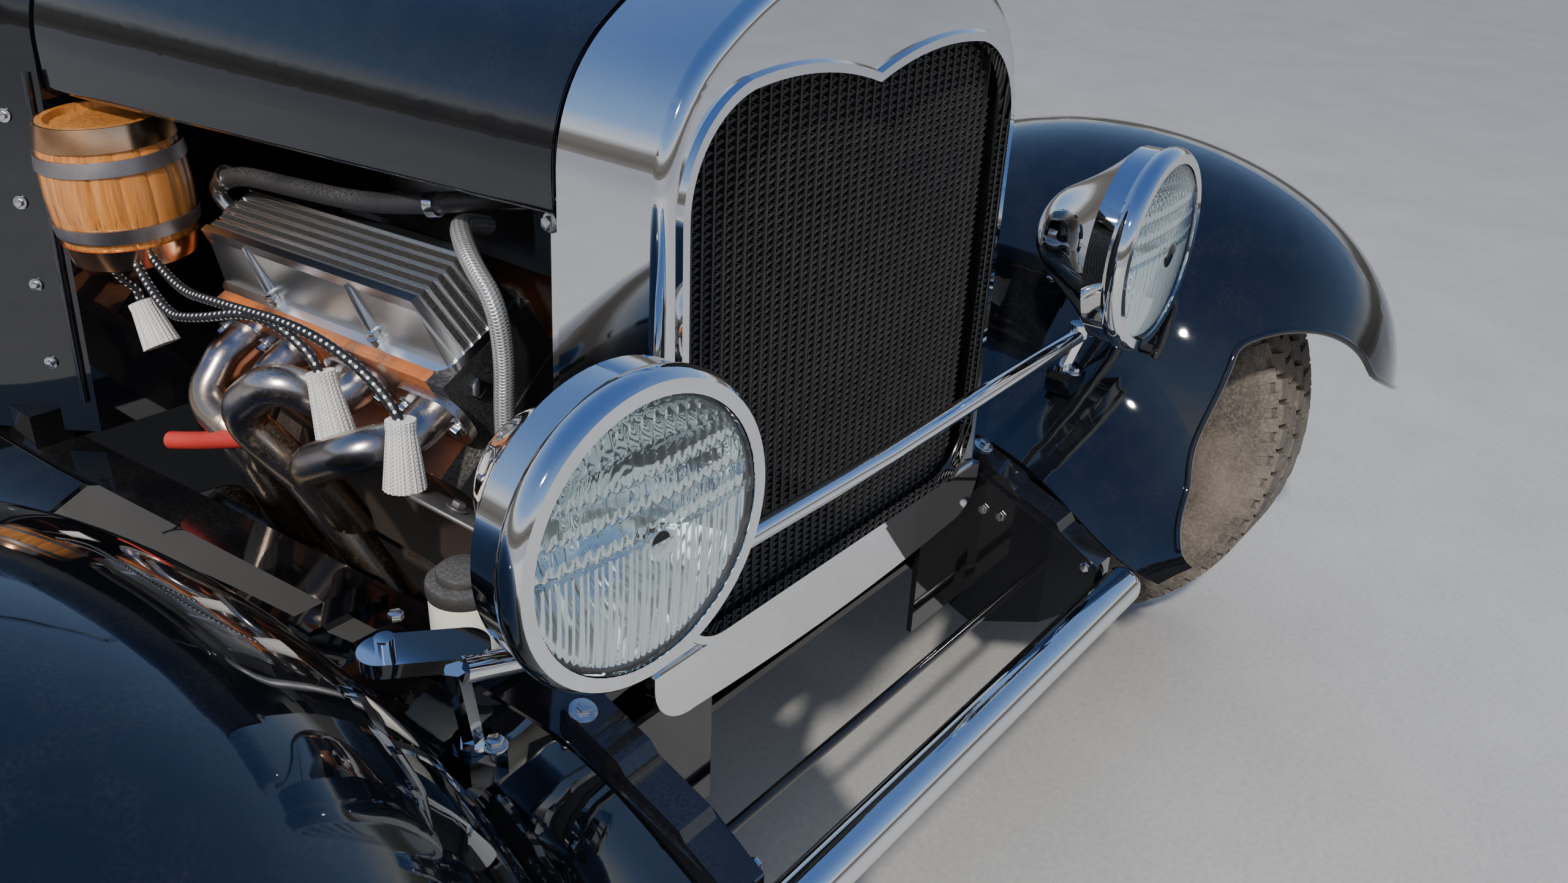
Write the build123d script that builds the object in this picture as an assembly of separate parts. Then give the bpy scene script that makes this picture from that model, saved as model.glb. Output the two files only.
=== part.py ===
from build123d import *
import math
import os

# Full-fendered open hot rod in the style of the late 1920s, in millimetres.
# Front faces -Y, the car's left side is +X, +Z is up, and the ground is Z = 0.
# The origin is on the ground below the middle of the overall length.

# Overall layout
WHEELBASE = 2629.0
FRONT_OVERHANG = 415.0
REAR_OVERHANG = 578.0
LENGTH = FRONT_OVERHANG + WHEELBASE + REAR_OVERHANG
FRONT_AXLE_Y = -LENGTH / 2 + FRONT_OVERHANG
REAR_AXLE_Y = FRONT_AXLE_Y + WHEELBASE
GRILLE_TO_AXLE = 143.0
GRILLE_Y = FRONT_AXLE_Y - GRILLE_TO_AXLE
HOOD_LENGTH = 588.0
SHELL_DEPTH = 102.0
HOOD_FRONT_Y = GRILLE_Y + SHELL_DEPTH
COWL_Y = HOOD_FRONT_Y + HOOD_LENGTH
COWL_LENGTH = 390.0
DOOR_LENGTH = 660.0
QUARTER_LENGTH = 230.0
DOOR_FRONT_Y = COWL_Y + COWL_LENGTH
DOOR_REAR_Y = DOOR_FRONT_Y + DOOR_LENGTH
COCKPIT_REAR_Y = DOOR_REAR_Y + QUARTER_LENGTH
BODY_TAIL = 400.0
BODY_REAR_Y = REAR_AXLE_Y + BODY_TAIL

# Clearances
SEAT_GAP = 0.3
RUNNING_GAP = 0.05
PANEL_GAP = 5.0
SHEET = 3.0

# Wheels and tyres
FRONT_TYRE_R = 330.0
FRONT_TYRE_WIDTH = 161.0
FRONT_TRACK = 1458.0
REAR_TYRE_R = 362.0
REAR_TYRE_WIDTH = 212.0
REAR_TRACK = 1440.0
RIM_R = 203.0
RIM_WALL = 5.0
FLANGE_HEIGHT = 8.0
HUB_R = 34.0
SPINDLE_R = 17.0
CAP_R = 92.0
CAP_HEIGHT = 26.0
DRUM_R = 142.0
DRUM_WIDTH = 52.0
LUG_CIRCLE = 139.7
LUG_COUNT = 5
LUG_HOLE_R = 6.5

# Frame rails: outline of the two boxed rails from front horn to tail
RAIL_WIDTH = 48.0
FRAME_TOP = 425.0
RAIL_TAIL_Y = LENGTH / 2 - 70.0
BODY_PAD = 12.0
BODY_LOW = FRAME_TOP + BODY_PAD
CROSS_R = 19.0
BUMPER_HOLE_R = 5.25
BUMPER_HOLE_X = 430.0
BUMPER_HOLE_Z = 505.0
BUMPER_HOLE_SPAN = 72.0
BUMPER_HOLE_DEPTH = 45.0
SPREADER_R = 20.0
SPREADER_Z = 329.0
SPREADER_HALF = 291.0
SPREADER_Y = GRILLE_Y - 157.0

# Front axle and steering
KINGPIN_X = 630.0
KINGPIN_R = 12.0
AXLE_BEAM_Z = 235.0
AXLE_BEAM_HALF = 470.0
AXLE_BEAM_HEIGHT = 50.0
AXLE_BEAM_WIDTH = 46.0
AXLE_EYE_R = 27.0
AXLE_EYE_HEIGHT = 62.0
YOKE_WALL = 16.0
STEER_ARM = 130.0
TIE_ROD_Z = 204.0
TIE_ROD_R = 11.0
TIE_PIN_R = 8.0

# Radiator shell and grille
SHELL_WALL = 4.0
SHELL_HALF = 229.0
SHELL_FOOT_HALF = 240.0
SHELL_SHOULDER_Z = 800.0
SHELL_TOP_Z = 955.0
SHELL_CORNER = 120.0
SHELL_FOOT_Z = 378.0
SHELL_FRONT_ROUND = 12.0
OPENING_HALF = 210.0
OPENING_LOW = 445.0
OPENING_CORNER = 47.0
OPENING_SIDE_TOP = 788.0
OPENING_SHOULDER_X = 148.0
OPENING_SHOULDER_Z = 866.0
OPENING_PEAK_X = 90.0
OPENING_PEAK_Z = 869.0
OPENING_DIP_Z = 852.0
BEAD_WIDTH = 9.0
BEAD_HEIGHT = 5.0
CORE_SETBACK = 14.0
CORE_DEPTH = 55.0
TUBE_PITCH = 11.6
TUBE_WIDTH = 2.4
TUBE_DEPTH = 8.0

# Hood
HOOD_LOW_Z = 778.0
HOOD_REAR_HALF = 300.0
HOOD_REAR_TOP = 975.0
HOOD_REAR_SHOULDER = 812.0
HOOD_CORNER = 125.0
HOOD_BEAD_R = 5.0
HINGE_X = 12.0
HINGE_PIN_R = 2.5
HINGE_KNUCKLE_R = 5.0

# Body tub
WALL = 28.0
FIREWALL = 6.0
BELT_Z = 962.0
BELT_TOP = 1010.0
COCKPIT_HALF = 462.0

# Windshield
SCREEN_HALF = 470.0
SCREEN_HEIGHT = 370.0
SCREEN_RAKE = 9.0
SCREEN_FRAME_R = 11.0
GLASS_THICK = 6.0

# Headlamps
LAMP_X = 355.0
LAMP_FRONT_Y = GRILLE_Y - 112.0
LAMP_Z = 661.0
LAMP_LENS_R = 88.0
LAMP_RIM_R = 100.0
LAMP_BOWL_DEPTH = 128.0
LAMP_TOE = 2.3
LAMP_WALL = 3.0
LAMP_BAR_Y = GRILLE_Y - 40.0
LAMP_BAR_Z = 550.0
LAMP_BAR_R = 8.5
LAMP_BAR_BEND_X = 372.0
LAMP_BAR_HALF = 430.0
LAMP_BAR_END_RISE = 19.0
LAMP_POST_Z = LAMP_Z - LAMP_RIM_R + 7.2
LAMP_FOOT_X = 412.0
LAMP_FOOT_Y = GRILLE_Y - 7.0
LAMP_FOOT_Z = 490.0

# Engine
CRANK_Z = 350.0
ENGINE_FRONT_Y = GRILLE_Y + 215.0
ENGINE_REAR_Y = GRILLE_Y + 600.0
BANK_ANGLE = 40.0
HEAD_TOP = 285.0
HEAD_WIDTH = 150.0
COVER_ANGLE = 27.0
ENGINE_TILT = 2.3
COVER_X = 197.0
COVER_FRONT_Y = GRILLE_Y + 219.5
COVER_Z = 638.0
COVER_LENGTH = 332.0
COVER_WIDTH = 98.0
COVER_TOP_WIDTH = 62.0
COVER_HEIGHT = 61.0
COVER_SLOPE = 18.0
FLANGE_THICK = 8.0
FIN_COUNT = 5
FIN_HEIGHT = 4.0
FIN_WIDTH = 7.0
RAIL_TUBE_R = 5.0
GUSSET_R = 4.5
HEAD_DEPTH = 75.0
HEAD_OUT = 56.0
PORT_DROP = 36.0
INTAKE_RISE = 250.0


def at_y(y):
    """Plane across the car at the length position y, its own x along +X and y along +Z."""
    return Plane.XZ.offset(-y)


def box_between(x0, x1, y0, y1, z0, z1):
    """Box from its two opposite corners."""
    centre = Pos((x0 + x1) / 2, (y0 + y1) / 2, (z0 + z1) / 2)
    return centre * Box(abs(x1 - x0), abs(y1 - y0), abs(z1 - z0))


def rod(start, end, radius):
    """Round bar between two points."""
    a = Vector(*start)
    b = Vector(*end)
    plane = Plane(origin=a, z_dir=b - a)
    return plane * Cylinder(radius, (b - a).length, align=(Align.CENTER, Align.CENTER, Align.MIN))


def bent_bar(points, bend, radius):
    """Round bar through points, with one bend radius at each corner."""
    path = FilletPolyline(*points, radius=bend)
    return sweep(Plane(origin=path @ 0, z_dir=path % 0) * Circle(radius), path)


def other_side(shape):
    """The same piece on the car's right side."""
    return mirror(shape, Plane.YZ)


def both_sides(shape):
    """A piece and its mirror image as one node of two solids."""
    return Compound(children=[shape, other_side(shape)])


def group(*shapes):
    """Several loose solids of one node."""
    solids = []
    for shape in shapes:
        solids.extend(shape.solids())
    return Compound(children=solids)


def oval_outline(half_low, half_belt, z_low, z_belt, z_top, corner):
    """Wire in a plane's own x and y: flat foot, straight sides, round shoulders, crowned top."""
    a = half_belt - corner
    rise = z_top - z_belt
    crown = (a * a + rise * rise - corner * corner) / (2 * (rise - corner))
    centre_z = z_top - crown
    span = crown - corner
    touch_x = a / span * crown
    touch_z = centre_z + (z_belt - centre_z) / span * crown
    half_turn = math.atan2(touch_z - z_belt, touch_x - a) / 2
    mid_x = a + corner * math.cos(half_turn)
    mid_z = z_belt + corner * math.sin(half_turn)
    edges = [
        Line((-half_low, z_low), (half_low, z_low)),
        Line((half_low, z_low), (half_belt, z_belt)),
        ThreePointArc((half_belt, z_belt), (mid_x, mid_z), (touch_x, touch_z)),
        ThreePointArc((touch_x, touch_z), (0, z_top), (-touch_x, touch_z)),
        ThreePointArc((-touch_x, touch_z), (-mid_x, mid_z), (-half_belt, z_belt)),
        Line((-half_belt, z_belt), (-half_low, z_low)),
    ]
    return Wire(edges)


def oval_face(y, half_low, half_belt, z_low, z_belt, z_top, corner):
    """Face across the car at y with an oval outline."""
    return at_y(y) * make_face(oval_outline(half_low, half_belt, z_low, z_belt, z_top, corner).edges())


def opening_face(grow=0.0):
    """Front view of the grille opening, with its dipped top edge, in a plane's own x and y."""
    half = OPENING_HALF + grow
    low = OPENING_LOW - grow
    corner = OPENING_CORNER + grow
    side = OPENING_SIDE_TOP
    shoulder = (OPENING_SHOULDER_X + grow * 0.3, OPENING_SHOULDER_Z + grow)
    peak = (OPENING_PEAK_X, OPENING_PEAK_Z + grow)
    dip = (0, OPENING_DIP_Z + grow)
    arc = math.cos(math.pi / 4)
    edges = [
        Line((-half + corner, low), (half - corner, low)),
        ThreePointArc(
            (half - corner, low),
            (half - corner + corner * arc, low + corner - corner * arc),
            (half, low + corner),
        ),
        Line((half, low + corner), (half, side)),
        TangentArc((half, side), shoulder, tangent=(0, 1)),
        ThreePointArc(shoulder, peak, dip),
        ThreePointArc(dip, (-peak[0], peak[1]), (-shoulder[0], shoulder[1])),
        TangentArc((-half, side), (-shoulder[0], shoulder[1]), tangent=(0, 1)),
        Line((-half, side), (-half, low + corner)),
        ThreePointArc(
            (-half, low + corner),
            (-half + corner - corner * arc, low + corner - corner * arc),
            (-half + corner, low),
        ),
    ]
    return make_face(edges)


def barrel_hinge(length, count, arm_fixed, arm_moving, pin_r, knuckle_r, root, toward=1):
    """Barrel hinge along +Z from the origin: pin and odd knuckles fixed, even knuckles moving.
    The arms are leaf lengths along X, the moving side's leaf lying towards the given sign of X.
    The leaves reach down local Y from the knuckle to the depth root."""
    step = length / count
    slack = 0.4
    fixed = Cylinder(pin_r, length, align=(Align.CENTER, Align.CENTER, Align.MIN))
    moving = None
    for index in range(count):
        low = index * step + slack
        tall = step - 2 * slack
        knuckle = Pos(0, 0, low) * Cylinder(knuckle_r, tall, align=(Align.CENTER, Align.CENTER, Align.MIN))
        if index % 2 == 0:
            fixed += knuckle
            fixed += box_between(-toward * arm_fixed, 0, -root, -pin_r, low, low + tall)
        else:
            tab = box_between(0, toward * arm_moving, -root, -pin_r, low, low + tall)
            bore = Pos(0, 0, low) * Cylinder(
                pin_r + RUNNING_GAP, tall, align=(Align.CENTER, Align.CENTER, Align.MIN)
            )
            ring = knuckle + tab - bore
            moving = ring if moving is None else moving + ring
    return fixed, moving


# Frame

KICK_START_Y = COCKPIT_REAR_Y + 40.0
KICK_END_Y = REAR_AXLE_Y - 300.0
REAR_FRAME_TOP = 575.0
BODY_LOW_REAR = REAR_FRAME_TOP + BODY_PAD

# Rail stations: y, rail centre x, bottom z, top z, width
RAIL_STATIONS = [
    (SPREADER_Y + SPREADER_R + SEAT_GAP, 285.0, 308.0, 350.0, 34.0),
    (GRILLE_Y - 85.0, 286.0, 264.0, 377.0, 44.0),
    (GRILLE_Y - 4.0, 288.0, 228.0, 406.0, RAIL_WIDTH),
    (GRILLE_Y + 26.0, 290.0, 238.0, 417.0, RAIL_WIDTH),
    (GRILLE_Y + 106.0, 296.0, 267.0, 424.0, RAIL_WIDTH),
    (GRILLE_Y + 200.0, 303.0, 275.0, FRAME_TOP, RAIL_WIDTH),
    (COWL_Y, 345.0, 285.0, FRAME_TOP, RAIL_WIDTH),
    (KICK_START_Y, 410.0, 285.0, FRAME_TOP, RAIL_WIDTH),
    (KICK_END_Y, 430.0, 430.0, REAR_FRAME_TOP, RAIL_WIDTH),
    (REAR_AXLE_Y + 100.0, 430.0, 440.0, REAR_FRAME_TOP, RAIL_WIDTH),
    (RAIL_TAIL_Y, 430.0, 450.0, 560.0, RAIL_WIDTH),
]

# Body mount pads: y, rail centre x, rail top z
PAD_STATIONS = [
    (COWL_Y + 60.0, 349.0, FRAME_TOP),
    (DOOR_FRONT_Y + 150.0, 375.0, FRAME_TOP),
    (DOOR_REAR_Y + 40.0, 396.0, FRAME_TOP),
    (REAR_AXLE_Y, 430.0, REAR_FRAME_TOP),
]


def rail():
    sections = []
    for y, x, low, top, width in RAIL_STATIONS:
        sections.append(at_y(y) * Pos(x, (low + top) / 2) * Rectangle(width, top - low))
    return loft(sections, ruled=True)


def rail_at(y):
    """Rail centre x, bottom z and top z at the length position y."""
    for near, far in zip(RAIL_STATIONS, RAIL_STATIONS[1:]):
        if near[0] <= y <= far[0]:
            part = (y - near[0]) / (far[0] - near[0])
            return tuple(near[i] + (far[i] - near[i]) * part for i in (1, 2, 3))
    raise ValueError("the position is off the rail")


def horn_covers():
    """Left cover on the front horn, its top in three steps down to the spreader bar."""
    stations = [RAIL_STATIONS[0], RAIL_STATIONS[1], RAIL_STATIONS[2], RAIL_STATIONS[3]]
    low = [(y, top + SEAT_GAP) for y, _, _, top, _ in stations]
    steps = [(-150.0, 3.0), (-92.0, 3.0), (-86.0, 8.0), (-34.0, 8.0), (-26.0, 14.0), (30.0, 14.0)]
    high = []
    for offset, rise in steps:
        y = max(GRILLE_Y + offset, stations[0][0])
        high.append((y, rail_at(y)[2] + SEAT_GAP + rise))
    end_y = GRILLE_Y + 34.0
    low = [point for point in low if point[0] < end_y] + [(end_y, rail_at(end_y)[2] + SEAT_GAP)]
    high.append((end_y, rail_at(end_y)[2] + SEAT_GAP + 8.0))
    profile = Polyline(*low, *reversed(high), close=True)
    return Pos(286.0, 0, 0) * extrude(Plane.YZ * make_face(profile), amount=17, both=True)


def cross_tube(y, z, half, radius):
    return rod((-half, y, z), (half, y, z), radius)


CROSSMEMBER_Z = 345.0


GEARBOX_TAIL_LOW = CRANK_Z - 50.0


def frame(body_room, spring_beam):
    body = rail()
    body += other_side(rail())
    front = box_between(-290, 290, FRONT_AXLE_Y - 34, FRONT_AXLE_Y + 34, CROSSMEMBER_Z, CROSSMEMBER_Z + 50)
    body += front
    body += cross_tube(GRILLE_Y - 24.0, 250.0, 280.0, 5.0)
    for side in (-1, 1):
        gusset = box_between(side * 160, side * 270, GRILLE_Y + 8, GRILLE_Y + 14, 262, 392)
        body += gusset
    body += cross_tube(DOOR_REAR_Y - 100.0, 412.0, 385.0, CROSS_R)
    body += cross_tube(REAR_AXLE_Y - 40.0, 520.0, 425.0, CROSS_R)
    body += cross_tube(RAIL_TAIL_Y - 60.0, 500.0, 425.0, CROSS_R)
    body += box_between(
        -350, 350, COWL_Y + 330.0, COWL_Y + 390.0, GEARBOX_TAIL_LOW - 22.0, GEARBOX_TAIL_LOW - SEAT_GAP
    )
    body += spring_beam
    for y, x, top in PAD_STATIONS:
        pad = box_between(x - 19, x + 19, y - 30, y + 30, top - 12, top + 3 * BODY_PAD)
        body += pad
        body += other_side(pad)
    for x in (-BUMPER_HOLE_X, BUMPER_HOLE_X):
        for z in (BUMPER_HOLE_Z - BUMPER_HOLE_SPAN / 2, BUMPER_HOLE_Z + BUMPER_HOLE_SPAN / 2):
            body -= rod((x, RAIL_TAIL_Y - BUMPER_HOLE_DEPTH, z), (x, RAIL_TAIL_Y + 5, z), BUMPER_HOLE_R)
    return body - body_room


def spreader_bars():
    front = rod(
        (-SPREADER_HALF, SPREADER_Y, SPREADER_Z), (SPREADER_HALF, SPREADER_Y, SPREADER_Z), SPREADER_R
    )
    for side in (-1, 1):
        front += Pos(side * SPREADER_HALF, SPREADER_Y, SPREADER_Z) * Sphere(SPREADER_R)
    y = LENGTH / 2 - SPREADER_R
    z = 505.0
    half = 430.0
    rear = rod((-half, y, z), (half, y, z), SPREADER_R)
    for side in (-1, 1):
        rear += Pos(side * half, y, z) * Sphere(SPREADER_R)
        rear += rod((side * half, y, z), (side * half, RAIL_TAIL_Y + SEAT_GAP, z), 14.0)
    return group(front, rear)


# Front axle and steering


def front_axle():
    rise = FRONT_TYRE_R - AXLE_BEAM_Z
    half_h = AXLE_BEAM_HEIGHT / 2
    top = AXLE_BEAM_Z + half_h
    low = AXLE_BEAM_Z - half_h
    end = KINGPIN_X - AXLE_EYE_R + 4
    outline = Polyline(
        (-end, top + rise - 8),
        (-AXLE_BEAM_HALF, top),
        (AXLE_BEAM_HALF, top),
        (end, top + rise - 8),
        (end, low + rise + 8),
        (AXLE_BEAM_HALF + 10, low),
        (-AXLE_BEAM_HALF - 10, low),
        (-end, low + rise + 8),
        close=True,
    )
    flat = at_y(FRONT_AXLE_Y + AXLE_BEAM_WIDTH / 2) * make_face(outline)
    beam = extrude(flat, amount=AXLE_BEAM_WIDTH)
    groove = Polyline(
        (-AXLE_BEAM_HALF, AXLE_BEAM_Z + half_h - 9),
        (AXLE_BEAM_HALF, AXLE_BEAM_Z + half_h - 9),
        (AXLE_BEAM_HALF, AXLE_BEAM_Z - half_h + 9),
        (-AXLE_BEAM_HALF, AXLE_BEAM_Z - half_h + 9),
        close=True,
    )
    for y in (FRONT_AXLE_Y + AXLE_BEAM_WIDTH / 2, FRONT_AXLE_Y - AXLE_BEAM_WIDTH / 2 + 16):
        beam -= extrude(at_y(y) * make_face(groove), amount=16)
    for side in (-1, 1):
        eye = Pos(side * KINGPIN_X, FRONT_AXLE_Y, FRONT_TYRE_R) * Cylinder(AXLE_EYE_R, AXLE_EYE_HEIGHT)
        bore = Pos(side * KINGPIN_X, FRONT_AXLE_Y, FRONT_TYRE_R) * Cylinder(
            KINGPIN_R + RUNNING_GAP, AXLE_EYE_HEIGHT + 2
        )
        beam += eye
        beam -= bore
        beam += rod(
            (side * 420, FRONT_AXLE_Y + 3, AXLE_BEAM_Z),
            (side * 330, DOOR_FRONT_Y + 10, 262.0),
            15.0,
        )
    return beam


SPRING_LEAF = 7.0


def leaf_spring(axle_y, eye_z, arch_z, half, width, leaves):
    """Transverse leaf pack: an arch from its two eyes up to the middle, with shorter leaves on top."""
    leaf = SPRING_LEAF
    pack = None
    for index in range(leaves):
        reach = half * (1 - 0.16 * index)
        drop = (arch_z - eye_z) * (reach / half) ** 2
        top = arch_z + leaf * index
        low_arc = ThreePointArc((-reach, top - drop), (0, top), (reach, top - drop))
        high_arc = ThreePointArc((reach, top - drop + leaf), (0, top + leaf), (-reach, top - drop + leaf))
        sides = [Line(low_arc @ 1, high_arc @ 0), Line(high_arc @ 1, low_arc @ 0)]
        face = make_face([low_arc, sides[0], high_arc, sides[1]])
        piece = extrude(at_y(axle_y + width / 2) * face, amount=width)
        pack = piece if pack is None else pack + piece
    return pack


FRONT_SPRING_LEAVES = 4
REAR_SPRING_LEAVES = 5
REAR_SPRING_Y = REAR_AXLE_Y - 120.0


def springs():
    half = 250.0
    arch = CROSSMEMBER_Z - SPRING_LEAF * FRONT_SPRING_LEAVES - SEAT_GAP
    eye_z = arch - 22.0
    front = leaf_spring(FRONT_AXLE_Y, eye_z, arch, half, 44.0, FRONT_SPRING_LEAVES)
    beam_top = AXLE_BEAM_Z + AXLE_BEAM_HEIGHT / 2
    for side in (-1, 1):
        front += box_between(
            side * (half - 14), side * half, FRONT_AXLE_Y - 18, FRONT_AXLE_Y + 18, beam_top + SEAT_GAP, eye_z + 3
        )
    return front


def knuckle():
    """Left steering knuckle: yoke round the axle eye, kingpin, spindle, backing plate and arm."""
    z = FRONT_TYRE_R
    y = FRONT_AXLE_Y
    eye_half = AXLE_EYE_HEIGHT / 2
    pin = Pos(KINGPIN_X, y, z) * Cylinder(KINGPIN_R, AXLE_EYE_HEIGHT + 2 * YOKE_WALL)
    body = pin
    for side in (-1, 1):
        ear_z = z + side * (eye_half + 0.5 + YOKE_WALL / 2)
        ear = Pos(KINGPIN_X, y, ear_z) * Cylinder(AXLE_EYE_R, YOKE_WALL)
        arm = box_between(
            KINGPIN_X, KINGPIN_X + AXLE_EYE_R + 16, y - 22, y + 22, ear_z - YOKE_WALL / 2, ear_z + YOKE_WALL / 2
        )
        body += ear + arm
    flange_x = KINGPIN_X + AXLE_EYE_R + 6
    full = eye_half + YOKE_WALL
    body += box_between(flange_x, flange_x + 14, y - 30, y + 30, z - full, z + full)
    body += rod((flange_x + 10, y, z), (FRONT_TRACK / 2 + 38, y, z), SPINDLE_R)
    body += rod((flange_x + 8, y, z), (flange_x + 12, y, z), DRUM_R - 6)
    arm_z = z - full + 6
    body += bent_bar(
        [(KINGPIN_X + 20, y + 10, arm_z), (KINGPIN_X, y + 50, arm_z), (KINGPIN_X, y + STEER_ARM, arm_z)],
        12,
        9.0,
    )
    boss_low = TIE_ROD_Z + TIE_ROD_R + 5
    body += Pos(KINGPIN_X, y + STEER_ARM, (arm_z + 10 + boss_low) / 2) * Cylinder(14, arm_z + 10 - boss_low)
    body += rod(
        (KINGPIN_X, y + STEER_ARM, boss_low + 1), (KINGPIN_X, y + STEER_ARM, TIE_ROD_Z - 14), TIE_PIN_R
    )
    return body


def tie_rod():
    y = FRONT_AXLE_Y + STEER_ARM
    bar = rod((-KINGPIN_X, y, TIE_ROD_Z), (KINGPIN_X, y, TIE_ROD_Z), TIE_ROD_R)
    for side in (-1, 1):
        bar += Pos(side * KINGPIN_X, y, TIE_ROD_Z) * Cylinder(18, 26)
    left_bore = Pos(KINGPIN_X, y, TIE_ROD_Z) * Cylinder(TIE_PIN_R + RUNNING_GAP, 60)
    right_bore = Pos(-KINGPIN_X, y, TIE_ROD_Z) * Cylinder(TIE_PIN_R + 1.0, 60)
    return bar - left_bore - right_bore


def dome_arc(pole_x, edge_x, edge_r):
    """Arc from the axis out to an edge radius, its centre on the axis, for revolving about X."""
    rise = edge_x - pole_x
    ball = (rise * rise + edge_r * edge_r) / (2 * rise)
    half_turn = math.asin(edge_r / abs(ball)) / 2
    mid_r = abs(ball) * math.sin(half_turn)
    mid_x = pole_x + ball * (1 - math.cos(half_turn))
    return ThreePointArc((pole_x, 0), (mid_x, mid_r), (edge_x, edge_r))


# Wheels


def tyre(radius, width):
    """Tyre as a solid of revolution about X, centred on the origin."""
    half = width / 2
    inner = RIM_R + SEAT_GAP
    bead = half * 0.8
    wall = radius - inner
    shoulder = radius - 16.0
    profile = [
        Line((-bead, inner), (bead, inner)),
        Line((bead, inner), (bead, inner + FLANGE_HEIGHT + 1)),
        ThreePointArc((bead, inner + FLANGE_HEIGHT + 1), (half, inner + wall * 0.45), (half - 8, shoulder)),
        ThreePointArc((half - 8, shoulder), (half - 14, radius - 5), (half - 24, radius)),
        Line((half - 24, radius), (-half + 24, radius)),
        ThreePointArc((-half + 24, radius), (-half + 14, radius - 5), (-half + 8, shoulder)),
        ThreePointArc((-half + 8, shoulder), (-half, inner + wall * 0.45), (-bead, inner + FLANGE_HEIGHT + 1)),
        Line((-bead, inner + FLANGE_HEIGHT + 1), (-bead, inner)),
    ]
    return revolve(make_face(profile), axis=Axis.X, revolution_arc=360)


def rim(width, outset, hub_in, spindle_end, drum_in):
    """Wheel for the left side about X: barrel, flanges, dished disc with cap, hub and brake drum.
    outset is the disc's distance from the wheel's middle plane; hub_in and drum_in point inward."""
    half = width / 2 * 0.8
    disc = outset
    outer = [
        (-half - 6, RIM_R + FLANGE_HEIGHT),
        (-half - 6, RIM_R - RIM_WALL),
        (-half * 0.5, RIM_R - RIM_WALL - 22),
        (half * 0.5, RIM_R - RIM_WALL - 22),
        (half + 6, RIM_R - RIM_WALL),
        (half + 6, RIM_R + FLANGE_HEIGHT),
        (half + 0.6, RIM_R + FLANGE_HEIGHT),
        (half + 0.6, RIM_R),
        (half * 0.5, RIM_R - 22),
        (-half * 0.5, RIM_R - 22),
        (-half - 0.6, RIM_R),
        (-half - 0.6, RIM_R + FLANGE_HEIGHT),
    ]
    barrel = revolve(make_face(Polyline(*outer, close=True)), axis=Axis.X)
    dish = [
        (disc - 10, HUB_R - 2),
        (disc, HUB_R - 2),
        (disc, CAP_R - 4),
        (disc + 16, CAP_R + 24),
        (disc + 10, RIM_R - 60),
        (disc - 14, RIM_R - 24),
        (disc - 20, RIM_R - 24),
        (disc + 4, RIM_R - 60),
        (disc + 9, CAP_R + 24),
        (disc - 10, CAP_R - 4),
    ]
    face = revolve(make_face(Polyline(*dish, close=True)), axis=Axis.X)
    cap_face = make_face(
        [
            Line((disc, 0), (disc + CAP_HEIGHT, 0)),
            dome_arc(disc + CAP_HEIGHT, disc, CAP_R - 6),
            Line((disc, CAP_R - 6), (disc, 0)),
        ]
    )
    cap = revolve(cap_face, axis=Axis.X)
    hub = rod((hub_in, 0, 0), (disc, 0, 0), HUB_R)
    drum = rod((drum_in, 0, 0), (disc - 10, 0, 0), DRUM_R) - rod((drum_in - 1, 0, 0), (disc - 18, 0, 0), DRUM_R - 8)
    body = barrel + face + cap + drum + hub
    bore = rod((hub_in - 1, 0, 0), (spindle_end + 2, 0, 0), SPINDLE_R + RUNNING_GAP)
    for index in range(LUG_COUNT):
        angle = 2 * math.pi * index / LUG_COUNT
        y = LUG_CIRCLE / 2 * math.cos(angle)
        z = LUG_CIRCLE / 2 * math.sin(angle)
        body += rod((disc - 2, y, z), (disc + 10, y, z), 9.0)
    return body - bore


# Rear axle


def rear_axle():
    y = REAR_AXLE_Y
    z = REAR_TYRE_R
    plate_x = REAR_TRACK / 2 - 74.0
    body = rod((-plate_x, y, z), (plate_x, y, z), 36.0)
    banjo = Pos(0, y, z) * Sphere(140)
    banjo = banjo & box_between(-105, 105, y - 150, y + 150, z - 150, z + 150)
    body += banjo
    for side in (-1, 1):
        body += rod((side * plate_x, y, z), (side * (plate_x + 5), y, z), DRUM_R - 6)
        body += rod((side * plate_x, y, z), (side * (REAR_TRACK / 2 + 20), y, z), SPINDLE_R)
        body += rod((side * 470, y - 20, z - 30), (side * 90, DOOR_REAR_Y + 60, 300.0), 14.0)
    body += rod((0, y - 100, z), (0, GEARBOX_REAR_Y + 3, CRANK_Z), 32.0)
    return body


GEARBOX_REAR_Y = COWL_Y + 640.0


def rear_spring():
    arch = 470.0
    pack = leaf_spring(REAR_SPRING_Y, 400.0, arch, 470.0, 50.0, REAR_SPRING_LEAVES)
    perch = None
    for side in (-1, 1):
        block = box_between(side * 440, side * 474, REAR_SPRING_Y - 25, REAR_AXLE_Y - 20, 385.0, 400.0 - SEAT_GAP)
        perch = block if perch is None else perch + block
    clamp = box_between(-45, 45, REAR_SPRING_Y - 25, REAR_SPRING_Y + 25, arch + 30.0, 505.0)
    beam = box_between(-415, 415, REAR_SPRING_Y - 30, REAR_SPRING_Y + 30, 505.3, 560.0)
    return pack + clamp, beam, perch


# Radiator shell, core and hood


def shell_face(y, inset):
    return oval_face(
        y,
        SHELL_FOOT_HALF - inset,
        SHELL_HALF - inset,
        OPENING_LOW - 12.0 + inset,
        SHELL_SHOULDER_Z,
        SHELL_TOP_Z - inset,
        SHELL_CORNER - inset,
    )


FLANGE_STEP = 9.0


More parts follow.
